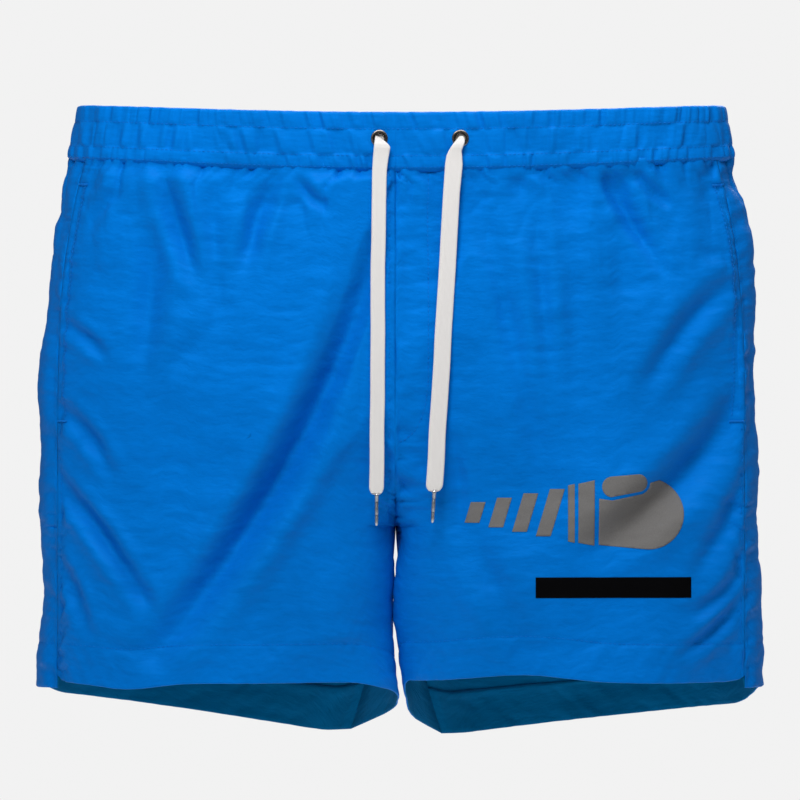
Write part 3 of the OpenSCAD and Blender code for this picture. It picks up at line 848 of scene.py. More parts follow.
@dataclass(frozen=True)
class MetalFinish:
    """Plated metal with fine scratches and a lighter colour on its convex edges, partly worn plating and partly a
    painted highlight on the rim.
    """

    name: str
    colour: tuple[float, float, float]
    worn: tuple[float, float, float]
    roughness: float = 0.32

    def material(self) -> bpy.types.Material:
        """Builds the material."""
        material = new_material(self.name)
        n = Nodes(material)
        grain = n.noise(n.cloth_vector((900, 900, 900), uv=False), 4.0)
        patch = n.noise(n.cloth_vector((240, 240, 240), uv=False), 3.0)
        point = n.add("ShaderNodeNewGeometry").outputs["Pointiness"]
        edge = n.ramp(point, 0.50, 0.58, 0.0, 1.0)
        # Convex edges take a lighter colour: partly worn plating, partly a painted highlight on the rim.
        wear_and_highlight = n.maths("MULTIPLY", edge, n.ramp(patch, 0.35, 0.6, 0.3, 1.0))
        colour = n.mixed(wear_and_highlight, rgba(self.colour), rgba(self.worn))
        n.finish(Base_Color=colour, Metallic=1.0, Roughness=n.ramp(grain, 0.3, 0.7, self.roughness - 0.08,
                                                                 self.roughness + 0.12),
                 Normal=n.bump(grain, 0.00004, 0.5))
        return material


@dataclass(frozen=True)
class FilmFinish:
    """Printed transfer film: nearly flat colour, with the cloth's slubs showing through."""

    name: str
    colour: tuple[float, float, float]
    roughness: float = 0.6

    def material(self) -> bpy.types.Material:
        """Builds the material."""
        material = new_material(self.name)
        n = Nodes(material)
        slub = n.noise(n.cloth_vector((105, 330, 330), uv=False), 5.0)
        speck = n.noise(n.cloth_vector((1400, 1400, 1400), uv=False), 2.0)
        colour = n.mixed(n.ramp(speck, 0.3, 0.7, 0.0, 1.0), rgba(self.colour, 0.92), rgba(self.colour, 1.08))
        n.finish(Base_Color=colour, Roughness=n.ramp(slub, 0.3, 0.7, self.roughness - 0.06, self.roughness + 0.08),
                 Normal=n.bump(slub, 0.00018, 0.6), Specular_IOR_Level=0.04)
        return material


@dataclass(frozen=True)
class KnitFinish:
    """Ribbed knitted elastic or plain spun thread, its colour darker in the grooves of the ribs: painted shade."""

    name: str
    colour: tuple[float, float, float]
    rib: float = 700.0

    def material(self) -> bpy.types.Material:
        """Builds the material."""
        material = new_material(self.name)
        n = Nodes(material)
        spot = n.cloth_vector((1, 1, 1), uv=False)
        ribs = n.add("ShaderNodeTexWave", {"Vector": spot, "Scale": self.rib / 4, "Distortion": 0.6},
                     bands_direction="DIAGONAL").outputs["Fac"]
        fuzz = n.noise(n.cloth_vector((1500, 1500, 1500), uv=False), 2.0)
        # The colour follows the ribs, darker in their grooves: painted shade.
        colour = n.mixed(n.ramp(ribs, 0.1, 0.9, 0.0, 1.0), rgba(self.colour, 0.85), rgba(self.colour, 1.1))
        relief = n.bump(fuzz, 0.00005, 0.5, n.bump(ribs, 0.0001, 0.6))
        n.finish(Base_Color=colour, Roughness=0.75, Normal=relief, Specular_IOR_Level=0.15)
        return material


@dataclass(frozen=True)
class Palette:
    """Every finish of the shorts."""

    shell: NylonFinish = NylonFinish("shell_nylon", (0.0003, 0.160, 0.600))
    # A darker, less blue copy of the shell nylon: painted shade on the cloth's inner walls, which are the same fabric.
    inside: NylonFinish = NylonFinish("shell_nylon_inside", (0.0003, 0.128, 0.300), sheen=0.0)
    lining: NylonFinish = NylonFinish("pocket_nylon", (0.0003, 0.145, 0.54), slub_depth=0.0002)
    braid: BraidFinish = BraidFinish("cord_braid", (0.76, 0.74, 0.725))
    # The eyelet's light edge colour is partly worn plating, partly a painted highlight on its rim.
    eyelet: MetalFinish = MetalFinish("eyelet_gunmetal", (0.045, 0.040, 0.038), (0.70, 0.62, 0.55), 0.28)
    tip: MetalFinish = MetalFinish("tip_metal", (0.42, 0.43, 0.45), (0.8, 0.8, 0.8))
    elastic: KnitFinish = KnitFinish("elastic_knit", (0.78, 0.78, 0.76))
    thread: KnitFinish = KnitFinish("sewing_thread", (0.0004, 0.17, 0.62), rib=2400.0)
    grey: FilmFinish = FilmFinish("grey_film", (0.162, 0.158, 0.155))
    black: FilmFinish = FilmFinish("black_film", (0.0008, 0.0008, 0.0012))


class Wardrobe:
    """Builds each finish once and hands it out."""

    def __init__(self, palette: Palette) -> None:
        """Builds the materials.

        Args:
            palette: the finishes.
        """
        self.made = {key: getattr(palette, key).material() for key in palette.__dataclass_fields__}

    def dress(self, obj: bpy.types.Object, finish: str, slot: str) -> None:
        """Puts a finish on a piece."""
        obj.data.materials.clear()
        obj.data.materials.append(self.made[finish])

    def seat(self, obj: bpy.types.Object, node: str, finish: str, slot: str, body: str = SHELL_BODY) -> None:
        """Dresses a piece, puts it on its body and gives it the place of a plain node."""
        self.dress(obj, finish, slot)
        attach(obj, body)
        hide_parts(node)


@dataclass
class Stitching:
    """Runs of sewn stitches, each a small rounded bar lying in the cloth."""

    pitch: float = 0.0032
    length: float = 0.0024
    radius: float = 0.00026

    def row(self, bm: bmesh.types.BMesh, line: np.ndarray, normals: np.ndarray, sink: float = 0.0) -> None:
        """Sews along a line.

        Args:
            bm: the mesh that takes the stitches.
            line: points on the cloth's face, close together.
            normals: the cloth's outward direction at each point.
            sink: how far the stitches lie below the face.
        """
        run = lengths(line[None], 1)[0]
        count = max(1, int(run[-1] / self.pitch))
        spare = bmesh.new()
        for i in range(count):
            at = (i + 0.5) * self.pitch
            ends = np.array([[np.interp(at + s * self.length / 2, run, line[:, k]) for k in range(3)]
                             for s in (-1, 1)])
            normal = Vector([np.interp(at, run, normals[:, k]) for k in range(3)]).normalized()
            along = Vector(ends[1] - ends[0])
            if along.length < 1e-6:
                continue
            across = normal.cross(along.normalized()).normalized()
            centre = Vector(ends.mean(axis=0)) + normal * (self.radius * 0.35 - sink)
            lay_bar(spare, centre, along * 0.5, across * self.radius, normal * self.radius)
        mesh = bpy.data.meshes.new("row")
        spare.to_mesh(mesh)
        spare.free()
        bm.from_mesh(mesh)
        bpy.data.meshes.remove(mesh)


class Panels:
    """The four cloth panels: refined, puckered at their seams and hemmed."""

    def __init__(self, drape: Drape, wardrobe: Wardrobe) -> None:
        """Takes the relaxed cloth.

        Args:
            drape: the four panels after their folds have settled.
            wardrobe: the finishes.
        """
        self.form, self.drape, self.wardrobe = drape.form, drape, wardrobe
        self.face_grids: dict = {}
        self.normals: dict = {}
        self.layouts: dict = {}
        self.objects: dict = {}

    def pucker(self, side: Side, face: Face, points: np.ndarray, lay: Layout) -> np.ndarray:
        """Small outward movement of each point: crinkles, seam puckers and the stitched hem."""
        form, d = self.form, lay.d
        across, down = lengths(points, 1), lengths(points, 0)
        side_gap = across if face is Face.FRONT else across[:, -1:] - across
        seam_gap = across[:, -1:] - across if face is Face.FRONT else across
        noise = Noise(31 + side.value + 7 * face.value)
        x = across + 0.3 * side.value
        rise = 0.00032 * noise(x / 0.016, down / 0.0046) + 0.00014 * noise(x / 0.007, down / 0.0030)
        rise += 0.00050 * noise(x / 0.030 + 6, down / 0.010)
        below = np.clip(d - form.band_h, 0, None)
        pleat = 1 - np.abs(noise((x + 0.25 * below) / 0.0050 + 11, down / 0.050))
        rise += 0.0024 * np.exp(-below / 0.020) - 0.0022 * pleat ** 4 * np.exp(-below / 0.010)
        pleat = 1 - np.abs(noise((x - 0.30 * below) / 0.0115 + 4, down / 0.060))
        rise -= 0.0036 * pleat ** 4 * np.exp(-below / 0.022)
        tug = (1 - np.abs(noise(side_gap / 0.030 + 3, down / 0.0048))) ** 3
        rise -= 0.0021 * tug * np.exp(-side_gap / 0.0100)
        rise += 0.0016 * noise(side_gap / 0.030 + 8, (down + 0.35 * side_gap) / 0.0085) * np.exp(-side_gap / 0.024)
        ruche = 0.5 + 1.1 * bell((d - 0.262) / 0.035)
        tug = (1 - np.abs(noise(seam_gap / 0.030 + 5, down / 0.0052))) ** 3
        reach = 0.016 if face is Face.FRONT and side is Side.LEFT else 0.008
        rise -= 0.0028 * ruche * tug * np.exp(-seam_gap / reach)
        waves = noise(seam_gap / 0.03, (down - 0.3 * seam_gap) / 0.010)
        rise += 0.0020 * ruche * waves * np.exp(-seam_gap / (2 * reach))
        up = form.hem_d(side, lay.w) - d
        roping = noise((x + 0.6 * up) / 0.0055, up / 0.020 + 2)
        in_hem = ease((form.hem_h + 0.002 - up) / 0.004)
        rise += 0.00038 * roping * in_hem + 0.00030 * in_hem
        rise -= 0.00055 * bell((up - form.hem_h) / 0.0013)
        if face is Face.FRONT and side is Side.LEFT:
            gap = np.abs(seam_gap - form.fly_x(d))
            on_fly = ease((form.fly_foot_d - d) / 0.006)
            rise -= 0.00035 * bell(gap / 0.0012) * on_fly
            rise += 0.00045 * (np.abs(noise(x / 0.02, down / 0.0042)) - 0.3) * np.exp(-gap / 0.006) * on_fly
        return rise

    def hem_turn(self, points: np.ndarray, normals: np.ndarray) -> tuple[np.ndarray, int]:
        """Adds the turned-up hem below and behind a panel.

        Args:
            points: the panel's face.
            normals: its outward directions.

        Returns:
            The whole grid, and how many of its rows are the face.
        """
        radius = 0.0007
        down = points[-1] - points[-2]
        down /= np.linalg.norm(down, axis=-1, keepdims=True)
        out = normals[-1]
        core = points[-1] - out * radius
        bend = [core + radius * (out * math.cos(a) + down * math.sin(a))
                for a in np.radians([36, 72, 108, 144, 180])]
        rise = lengths(points[::-1], 0).mean(axis=1)
        count = int(np.searchsorted(rise, self.form.hem_h + 0.002))
        inner = [points[-1 - k] - normals[-1 - k] * 2 * radius for k in range(1, count)]
        return np.concatenate([points, np.array(bend), np.array(inner)]), len(points)

    def build(self) -> None:
        """Builds all four panels."""
        for (side, face), coarse in self.drape.grids.items():
            lay = self.drape.layouts[side, face]
            places = refine(np.stack([lay.w, lay.d], axis=-1))
            fine = Layout(places[..., 0], places[..., 1])
            points = refine(coarse)
            outward = self.form.wall(side, fine.w, fine.d, 0.001) - self.form.wall(side, fine.w, fine.d)
            normals = grid_normals(points, outward)
            across = lengths(points, 1)
            rim = np.minimum(across, across[:, -1:] - across)
            rise = self.pucker(side, face, points, fine) * ease(rim / 0.0030)
            points = points + normals * rise[..., None]
            points[..., 1] = self.behind_cord(face, points)
            normals = grid_normals(points, outward)
            self.face_grids[side, face], self.normals[side, face], self.layouts[side, face] = points, normals, fine
            self.make(side, face, points, normals, outward)

    def behind_cord(self, face: Face, points: np.ndarray) -> np.ndarray:
        """Keeps the front behind the drawcord's tails, pressing it back softly."""
        y = points[..., 1]
        if face is Face.BACK:
            return y
        limit = -(self.form.waist_depth / 2 + self.form.front_fill + 0.0010)
        near = bell((points[..., 0] - 0.010) / 0.045) * ease((0.350 + points[..., 2]) / 0.03)
        pressed = np.maximum(y, limit)
        return y + (pressed - y) * np.clip(near * 2.0, 0, 1)

    def make(self, side: Side, face: Face, points: np.ndarray, normals: np.ndarray,
             outward: np.ndarray) -> None:
        node = f"{face.name.lower()}_panel_{side.label}"
        whole, face_rows = self.hem_turn(points, normals)
        guide = np.concatenate([outward, np.repeat(outward[-1:], len(whole) - face_rows, axis=0)])
        u = lengths(points, 1)
        u = u if face is Face.FRONT else u - u[:, -1:] + 0.9
        u = np.concatenate([u, np.repeat(u[-1:], len(whole) - face_rows, axis=0)])
        uv = np.stack([u, lengths(whole, 0)], axis=-1)
        obj = sheet_object(f"{node}_cloth", whole, guide, uv)
        thicken(obj, 0.00035)
        self.wardrobe.seat(obj, node, "shell", "shell_cloth")
        # The inner walls take the darker nylon: painted shade.
        line_inside(obj, self.wardrobe.made["inside"], face_rows, whole.shape[1])
        width, length = float(lengths(points, 1).max()), float(lengths(whole, 0).max())
        self.objects[side, face] = obj

    def track(self, side: Side, face: Face, w: np.ndarray, d: np.ndarray) -> tuple[np.ndarray, np.ndarray]:
        """Points and normals of the made cloth at places on the form.

        Args:
            side, face: which panel.
            w, d: places on the form, one pair for each point.

        Returns:
            Points on the face, and outward directions.
        """
        lay, grid, normals = self.layouts[side, face], self.face_grids[side, face], self.normals[side, face]
        points, outs = [], []
        for wi, di in zip(w, d):
            gap = np.square((lay.w - wi) * 0.14) + np.square(lay.d - di)
            r, c = np.unravel_index(np.argmin(gap), gap.shape)
            r, c = min(max(r, 1), grid.shape[0] - 2), min(max(c, 1), grid.shape[1] - 2)
            block = np.s_[r - 1:r + 2, c - 1:c + 2]
            weight = (1.0 / (gap[block] + 1e-7)) ** 1.5
            weight /= weight.sum()
            points.append((grid[block] * weight[..., None]).sum((0, 1)))
            outs.append(normals[r, c])
        return np.array(points), np.array(outs)


class Waistband:
    """The folded casing with its gathered rows, the elastic, and what is sewn on it."""

    ROWS = (0.011, 0.027, 0.035)
    FULLNESS = 1.05
    COLS = 800
    OUT_ROWS = 36
    IN_ROWS = 14
    LIP = 0.0012
    ELASTIC = ((-0.0009, 0.0025), (-0.0019, 0.0025), (-0.0019, 0.0305), (-0.0009, 0.0305), (-0.0009, 0.0025))

    def __init__(self, form: Form, wardrobe: Wardrobe, eyelets: dict) -> None:
        """Takes what the band is measured from.

        Args:
            form: the filled form.
            wardrobe: the finishes.
            eyelets: centre of each eyelet, by side.
        """
        self.form, self.wardrobe, self.eyelets = form, wardrobe, eyelets
        self.outer: dict = {}
        self.outer_normals: dict = {}

    def bulge(self, d: np.ndarray) -> np.ndarray:
        """How far the cloth stands between the rows of stitches, from 0 to 1."""
        stops = np.array([-0.001, *self.ROWS, self.form.band_h + 0.001])
        out = np.zeros_like(d)
        for a, b in zip(stops[:-1], stops[1:]):
            t = (d - a) / (b - a)
            arch = np.sin(np.pi * np.clip(t, 0, 1)) ** 0.4 * min(1.0, (b - a) / 0.010)
            out = np.where((t >= 0) & (t <= 1), arch, out)
        return out

    def gathers(self, side: Side, s: np.ndarray, d: np.ndarray, inside: bool) -> np.ndarray:
        """Outward movement of the gathered cloth at s along the band and d down it."""
        noise = Noise(61 + side.value + (9 if inside else 0))
        lean = s + 0.45 * noise(s / 0.05 + 2, d * 0 + 4) * (d - 0.019)
        first, second = self.ROWS[:2]
        bunch = 0.35 + 0.65 * np.abs(noise(s / 0.022 + 3, d / 0.03))

        def crease(size: float, shift: float) -> np.ndarray:
            """Narrow valleys about a size apart."""
            return (1 - np.abs(noise(lean / size + shift, d / 0.045 + shift))) ** 3

        top = 0.00120 * noise(lean / 0.0034, d / 0.05) - 0.00110 * crease(0.0050, 5) * bunch
        middle = 0.00150 * noise(lean / 0.0046 + 1, d / 0.024) - 0.00160 * crease(0.0078, 9) * bunch
        low = 0.00125 * noise(lean / 0.0036 + 7, d / 0.016) - 0.00110 * crease(0.0050, 3) * bunch
        rise = np.where(d < first, top, np.where(d < second, middle, low)) + 0.0003
        deepest = 0.0006 if inside else 0.0015
        rise = np.where(rise < 0, deepest * np.tanh(rise / deepest), rise)
        return rise * (0.45 + 0.55 * self.bulge(d)) * (1 - 0.6 * np.exp(-np.abs(s) / 0.003))

    def calm(self, points: np.ndarray) -> np.ndarray:
        """1 away from the eyelets, falling to 0 under them."""
        out = np.ones(points.shape[:-1])
        for centre in self.eyelets.values():
            gap = np.hypot(points[..., 0] - centre[0], points[..., 2] - centre[2])
            out = out * np.where(points[..., 1] < 0, 1 - bell(np.clip(gap - 0.005, 0, None) / 0.0035), 1)
        return out

    def build(self, side: Side) -> None:
        """Builds one half of the casing as a single folded sheet."""
        form, half_t = self.form, self.form.band_t / 2
        fine = np.linspace(2, -2, 900)
        run = lengths(form.wall(side, fine, np.full_like(fine, 0.018))[None], 1)[0]
        s = np.linspace(0, run[-1], self.COLS)
        w = np.interp(s, run, fine)
        out_d = np.linspace(form.band_h + 0.001, self.LIP, self.OUT_ROWS)
        turn = np.radians(np.linspace(0, 180, 7)[1:-1])
        in_d = np.linspace(self.LIP, form.band_h, self.IN_ROWS)
        d = np.concatenate([out_d, self.LIP - 0.0014 * np.sin(turn), in_d])
        lean = np.concatenate([np.ones(self.OUT_ROWS), np.cos(turn), -np.ones(self.IN_ROWS)])
        dd, ss = np.meshgrid(d, s, indexing="ij")
        shape = self.bulge(dd)
        foot = ease((dd - self.ROWS[2]) / 0.0030)
        ww = np.broadcast_to(w[None, :], dd.shape)
        near = 1 - self.calm(form.wall(side, ww, dd, half_t))
        stand = half_t - 0.0008 + 0.0006 * np.maximum(shape, near)
        off = lean[:, None] * (stand - (stand + 0.0006) * foot)
        base = form.wall(side, ww, np.clip(dd, -0.001, None), off)
        outward = form.wall(side, ww, dd, off + 0.001 * np.sign(lean[:, None] + 1e-9)) - base
        outward /= np.linalg.norm(outward, axis=-1, keepdims=True)
        side_sign = np.sign(lean)[:, None]
        ripple = np.where(side_sign >= 0, self.gathers(side, ss, dd, False), self.gathers(side, ss, dd, True) * 0.7)
        ripple = ripple * self.calm(base) * ease(np.minimum(ss, run[-1] - ss) / 0.0015)
        crimp = 0.00012 * Noise(77)(ss / 0.006, dd * 0 + side.value) * np.exp(-dd / 0.004)
        points = base + outward * (ripple * np.abs(lean[:, None]))[..., None]
        points[..., 2] += crimp
        node = f"waistband_casing_{side.label}"
        obj = sheet_object(f"{node}_cloth", points, outward, np.stack([ss + 2.0, -dd], axis=-1))
        self.cut_hole(obj, self.eyelets[side])
        thicken(obj, 0.00045)
        self.wardrobe.seat(obj, node, "shell", "shell_cloth")
        width, length = float(run[-1]) * self.FULLNESS, float(lengths(points, 0).mean(axis=1)[-1])
        self.outer[side] = (points[:self.OUT_ROWS], outward[:self.OUT_ROWS], out_d)

    def cut_hole(self, obj: bpy.types.Object, centre: np.ndarray) -> None:
        """Opens the outer wall where an eyelet's barrel passes."""
        bm = bmesh.new()
        bm.from_mesh(obj.data)
        gone = [f for f in bm.faces if f.calc_center_median().y < centre[1] + 0.0035
                and math.hypot(f.calc_center_median().x - centre[0], f.calc_center_median().z - centre[2]) < 0.0040]
        bmesh.ops.delete(bm, geom=gone, context="FACES")
        bm.to_mesh(obj.data)
        bm.free()

    def sew(self, stitching: Stitching) -> None:
        """Sews the three rows round both halves."""
        bm = bmesh.new()
        for side in Side:
            points, normals, depths = self.outer[side]
            for row in self.ROWS:
                k = int(np.argmin(np.abs(depths - row)))
                stitching.row(bm, points[k], normals[k])
        obj = mesh_from(bm, "waistband_rows")
        self.wardrobe.seat(obj, "waistband_topstitch", "thread", "thread")

    def elastic(self) -> None:
        """The knitted elastic ring inside the casing."""
        loops = [(side, np.linspace(2, -2, 180)[:-1] * side.value) for side in Side]
        points = np.array([np.concatenate([self.form.wall(side, w, np.full_like(w, d), off) for side, w in loops])
                           for off, d in self.ELASTIC])
        points = np.concatenate([points, points[:, :1]], axis=1)
        obj = sheet_object("waistband_elastic_knit", points, points - points.mean(axis=0, keepdims=True))
        weld(obj)
        self.wardrobe.seat(obj, "waistband_elastic", "elastic", "elastic")


@dataclass
class Eyelets:
    """Two rolled eyelets and the washers that they are set against."""

    wardrobe: Wardrobe
    bore: float = 0.00325
    flange_r: float = 0.00575
    face_y: float = -0.0492

    def spun(self, name: str, profile: Sequence[tuple[float, float]], centre: Sequence[float]) -> bpy.types.Object:
        """Spins a closed profile of radius and depth round an eyelet's axis."""
        bm = lathe([(r, y, 0.0) for r, y in profile], (0, 1, 0), 56, closed=True)
        bmesh.ops.translate(bm, verts=bm.verts, vec=centre)
        bmesh.ops.recalc_face_normals(bm, faces=bm.faces)
        return mesh_from(bm, name)

    def build(self, side: Side, centre: np.ndarray) -> None:
        """Builds one eyelet and its washer."""
        x, z = float(centre[0]), float(centre[2])
        roll = [(self.flange_r - 0.0011 + 0.0011 * math.sin(a), -0.0009 * (1 - (1 - math.cos(a)) / 2) - 0.0001)
                for a in np.radians(np.linspace(-60, 180, 12))]
        inner = [(self.bore + 0.0006, -0.00085), (self.bore + 0.0001, -0.0004), (self.bore, 0.0014),
                 (self.bore + 0.0004, 0.0014), (self.bore + 0.0005, -0.0001)]
        eyelet = self.spun(f"eyelet_{side.label}_ring", roll[::-1] + inner, (x, self.face_y, z))
        washer = self.spun(f"eyelet_{side.label}_washer_ring",
                           [(self.bore + 0.0006, 0.0008), (self.bore + 0.0019, 0.00078), (self.bore + 0.0019, 0.00120),
                            (self.bore + 0.0006, 0.00130)], (x, self.face_y, z))
        for obj, node in ((eyelet, f"eyelet_{side.label}"), (washer, f"eyelet_washer_{side.label}")):
            self.wardrobe.seat(obj, node, "eyelet", "eyelet_metal")


@dataclass
class Drawcord:
    """The flat braid: its hidden run, and the two tails with their tips."""

    form: Form
    wardrobe: Wardrobe
    width: float = 0.0108
    thick: float = 0.0028
    exit_y: float = -0.0504
    tip_len: float = 0.021
    tip_radius: float = 0.0014
    channel_d: float = 0.018
    seam_gap: float = 2e-6
    edges: dict = field(default_factory=lambda: {
        Side.LEFT: ((1.6, -0.6, 1.6), (0.0, -2.0, 2.8), (-3, -4.4, 2.9), (-6, -6.6, 1.7), (-9, -8.3, 0.7),
                    (-12, -9.7, 1.0), (-18, -10.7, 1.3), (-36, -11.8, -0.4), (-240, -23.6, -12.0)),
        Side.RIGHT: ((1.7, -2.6, -1.7), (0.4, -2.9, 0.7), (-1.5, -3.1, 3.2), (-3.6, -3.4, 5.7), (-5.6, -3.6, 7.6),
                     (-7.5, -3.8, 7.4), (-14, -4.3, 6.3), (-22, -4.7, 5.3), (-43, -5.4, 4.4), (-242, -6.8, 3.2)),
    })
    routes: dict = field(default_factory=lambda: {
        Side.LEFT: ((0, 0, 0), (-0.3, -1.6, -0.4), (-1, -2.7, -2.4), (-1.8, -2.8, -6), (-2.6, -2.4, -10),
                    (-4, -2.2, -15), (-16.3, -2.2, -215), (-17.8, -2.2, -240)),
        Side.RIGHT: ((0, 0, 0), (0, -1.6, -0.4), (-0.2, -2.7, -2.4), (-0.4, -2.8, -6), (-0.6, -2.4, -10),
                     (-0.7, -2.2, -15), (-1.7, -2.2, -215), (-1.8, -2.2, -242)),
    })

    def path(self, side: Side, centre: np.ndarray) -> np.ndarray:
        """The tail's centre line from inside the eyelet to its end, in metres."""
        start = np.array([centre[0], self.exit_y, centre[2]])
        return np.array([start + np.array(p) * MM for p in self.routes[side]])

    def tail(self, side: Side, centre: np.ndarray) -> None:
        """Builds one tail, folded over the rim of its eyelet and hanging to its rounded end."""
        route = self.path(side, centre)
        marks = np.array(self.edges[side]) * MM
        z = np.concatenate([np.linspace(marks[0, 0], -0.022, 34), np.arange(-0.0235, marks[-1, 0], -0.0015),
                            marks[-1:, 0] + [0.0015, 0.0006, 0.0]])
        low, high = (np.interp(-z, -marks[:, 0], marks[:, k]) for k in (1, 2))
        blur = np.array([1, 2, 3, 2, 1]) / 9
        for edge in (low, high):
            edge[2:12] = np.convolve(edge, blur, "same")[2:12]
        noise = Noise(91 + side.value)
        sway = 0.00025 * noise(z / 0.022, z * 0)
        left = z - z[-1]
        end = np.sqrt(np.clip(1 - np.square(np.clip(1 - left / 0.0055, 0, 1)), 0, 1))
        middle, half = (low + high) / 2 + sway, (high - low) / 2 * (0.20 + 0.80 * end)
        y = np.interp(-z, -route[:, 2] + centre[2], route[:, 1]) - 0.0002
        y = np.where(z > -0.006, self.exit_y + 0.0012 - 0.0040 * ease((0.0017 - z) / 0.0065), y)
        thick = self.thick / 2 * (0.70 + 0.30 * end) * (0.55 + 0.45 * ease((marks[0, 0] - z) / 0.003))
        angle = np.linspace(0, 2 * np.pi, 49)
        flat = np.sign(np.cos(angle)) * np.abs(np.cos(angle)) ** 0.8
        lift = np.sign(np.sin(angle)) * np.abs(np.sin(angle)) ** 0.65
        ribs = 1 - 0.32 * sum(bell((flat - place) / 0.050) for place in (-0.62, -0.36, 0.0, 0.36, 0.62))
        points = np.stack(np.broadcast_arrays(
            centre[0] + middle[:, None] + half[:, None] * flat, y[:, None] + thick[:, None] * lift * ribs,
            centre[2] + z[:, None] + 0 * flat), axis=-1)
        line = np.stack([centre[0] + middle, y, centre[2] + z], axis=-1)
        run = lengths(line[None], 1)[0]
        uv = np.stack(np.broadcast_arrays(flat * self.width / 2, run[:, None]), axis=-1)
        obj = sheet_object(f"drawcord_{side.label}_braid", points, points - line[:, None, :], uv)
        weld(obj, self.seam_gap, cap=True)
        self.wardrobe.dress(obj, "braid", "braid")
        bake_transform(obj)
        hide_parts(f"drawcord_lead_{side.label}", f"drawcord_tail_{side.label}")
        tip = self.tip(side, route)
        LOG.info("tail %s: %.0f mm", side.label, run[-1] / MM)

    def tip(self, side: Side, route: np.ndarray) -> bpy.types.Object:
        """The crimped metal tip at the end of a tail."""
        along = Vector(route[-1] - route[-2]).normalized()
        stations = ((-0.001, 0.9), (0.0, 1.06), (0.0012, 1.06), (0.0016, 0.94), (0.004, 0.94), (0.0044, 0.86),
                    (0.0052, 0.86), (0.0056, 0.94), (0.013, 0.90), (0.0134, 0.82), (0.0142, 0.82), (0.0146, 0.90),
                    (self.tip_len - 0.002, 0.82), (self.tip_len - 0.0005, 0.62), (self.tip_len, 0.30))
        bm = lathe([(self.tip_radius * k, 0.0, -s) for s, k in stations], (0, 0, 1), 20, closed=False)
        bmesh.ops.holes_fill(bm, edges=[e for e in bm.edges if e.is_boundary], sides=0)
        turn = Vector((0, 0, -1)).rotation_difference(along).to_matrix().to_4x4()
        turn.translation = Vector(route[-1])
        bmesh.ops.transform(bm, matrix=turn, verts=bm.verts)
        bmesh.ops.recalc_face_normals(bm, faces=bm.faces)
        obj = mesh_from(bm, f"aglet_{side.label}_tip")
        self.wardrobe.seat(obj, f"aglet_{side.label}", "tip", "cord_tip", f"cord_tail_{side.label}")
        return obj

    def hidden_run(self, eyelets: dict) -> None:
        """The run of braid inside the channel, from one eyelet round the back to the other."""
        form, depth = self.form, self.channel_d
        reach = {side: float(form.front_w(side, abs(eyelets[side][0] - form.centre_x) - 0.004, depth)) for side in Side}
        stations = ([(Side.LEFT, w) for w in np.linspace(reach[Side.LEFT], -2, 120)]
                    + [(Side.RIGHT, w) for w in np.linspace(-2, reach[Side.RIGHT], 120)[1:]])
        angle = np.linspace(0, 2 * np.pi, 17)
        rings = []
        for side, w in stations:
            off = 0.0003 + 0.0007 * np.sin(angle)
            rings.append(form.wall(side, np.full_like(angle, w), depth + 0.0046 * np.cos(angle), off))
        points = np.array(rings)
        obj = sheet_object("drawcord_channel_braid", points, points - points.mean(axis=1, keepdims=True))
        weld(obj, self.seam_gap, cap=True)
        self.wardrobe.seat(obj, "drawcord_channel_run", "braid", "braid")


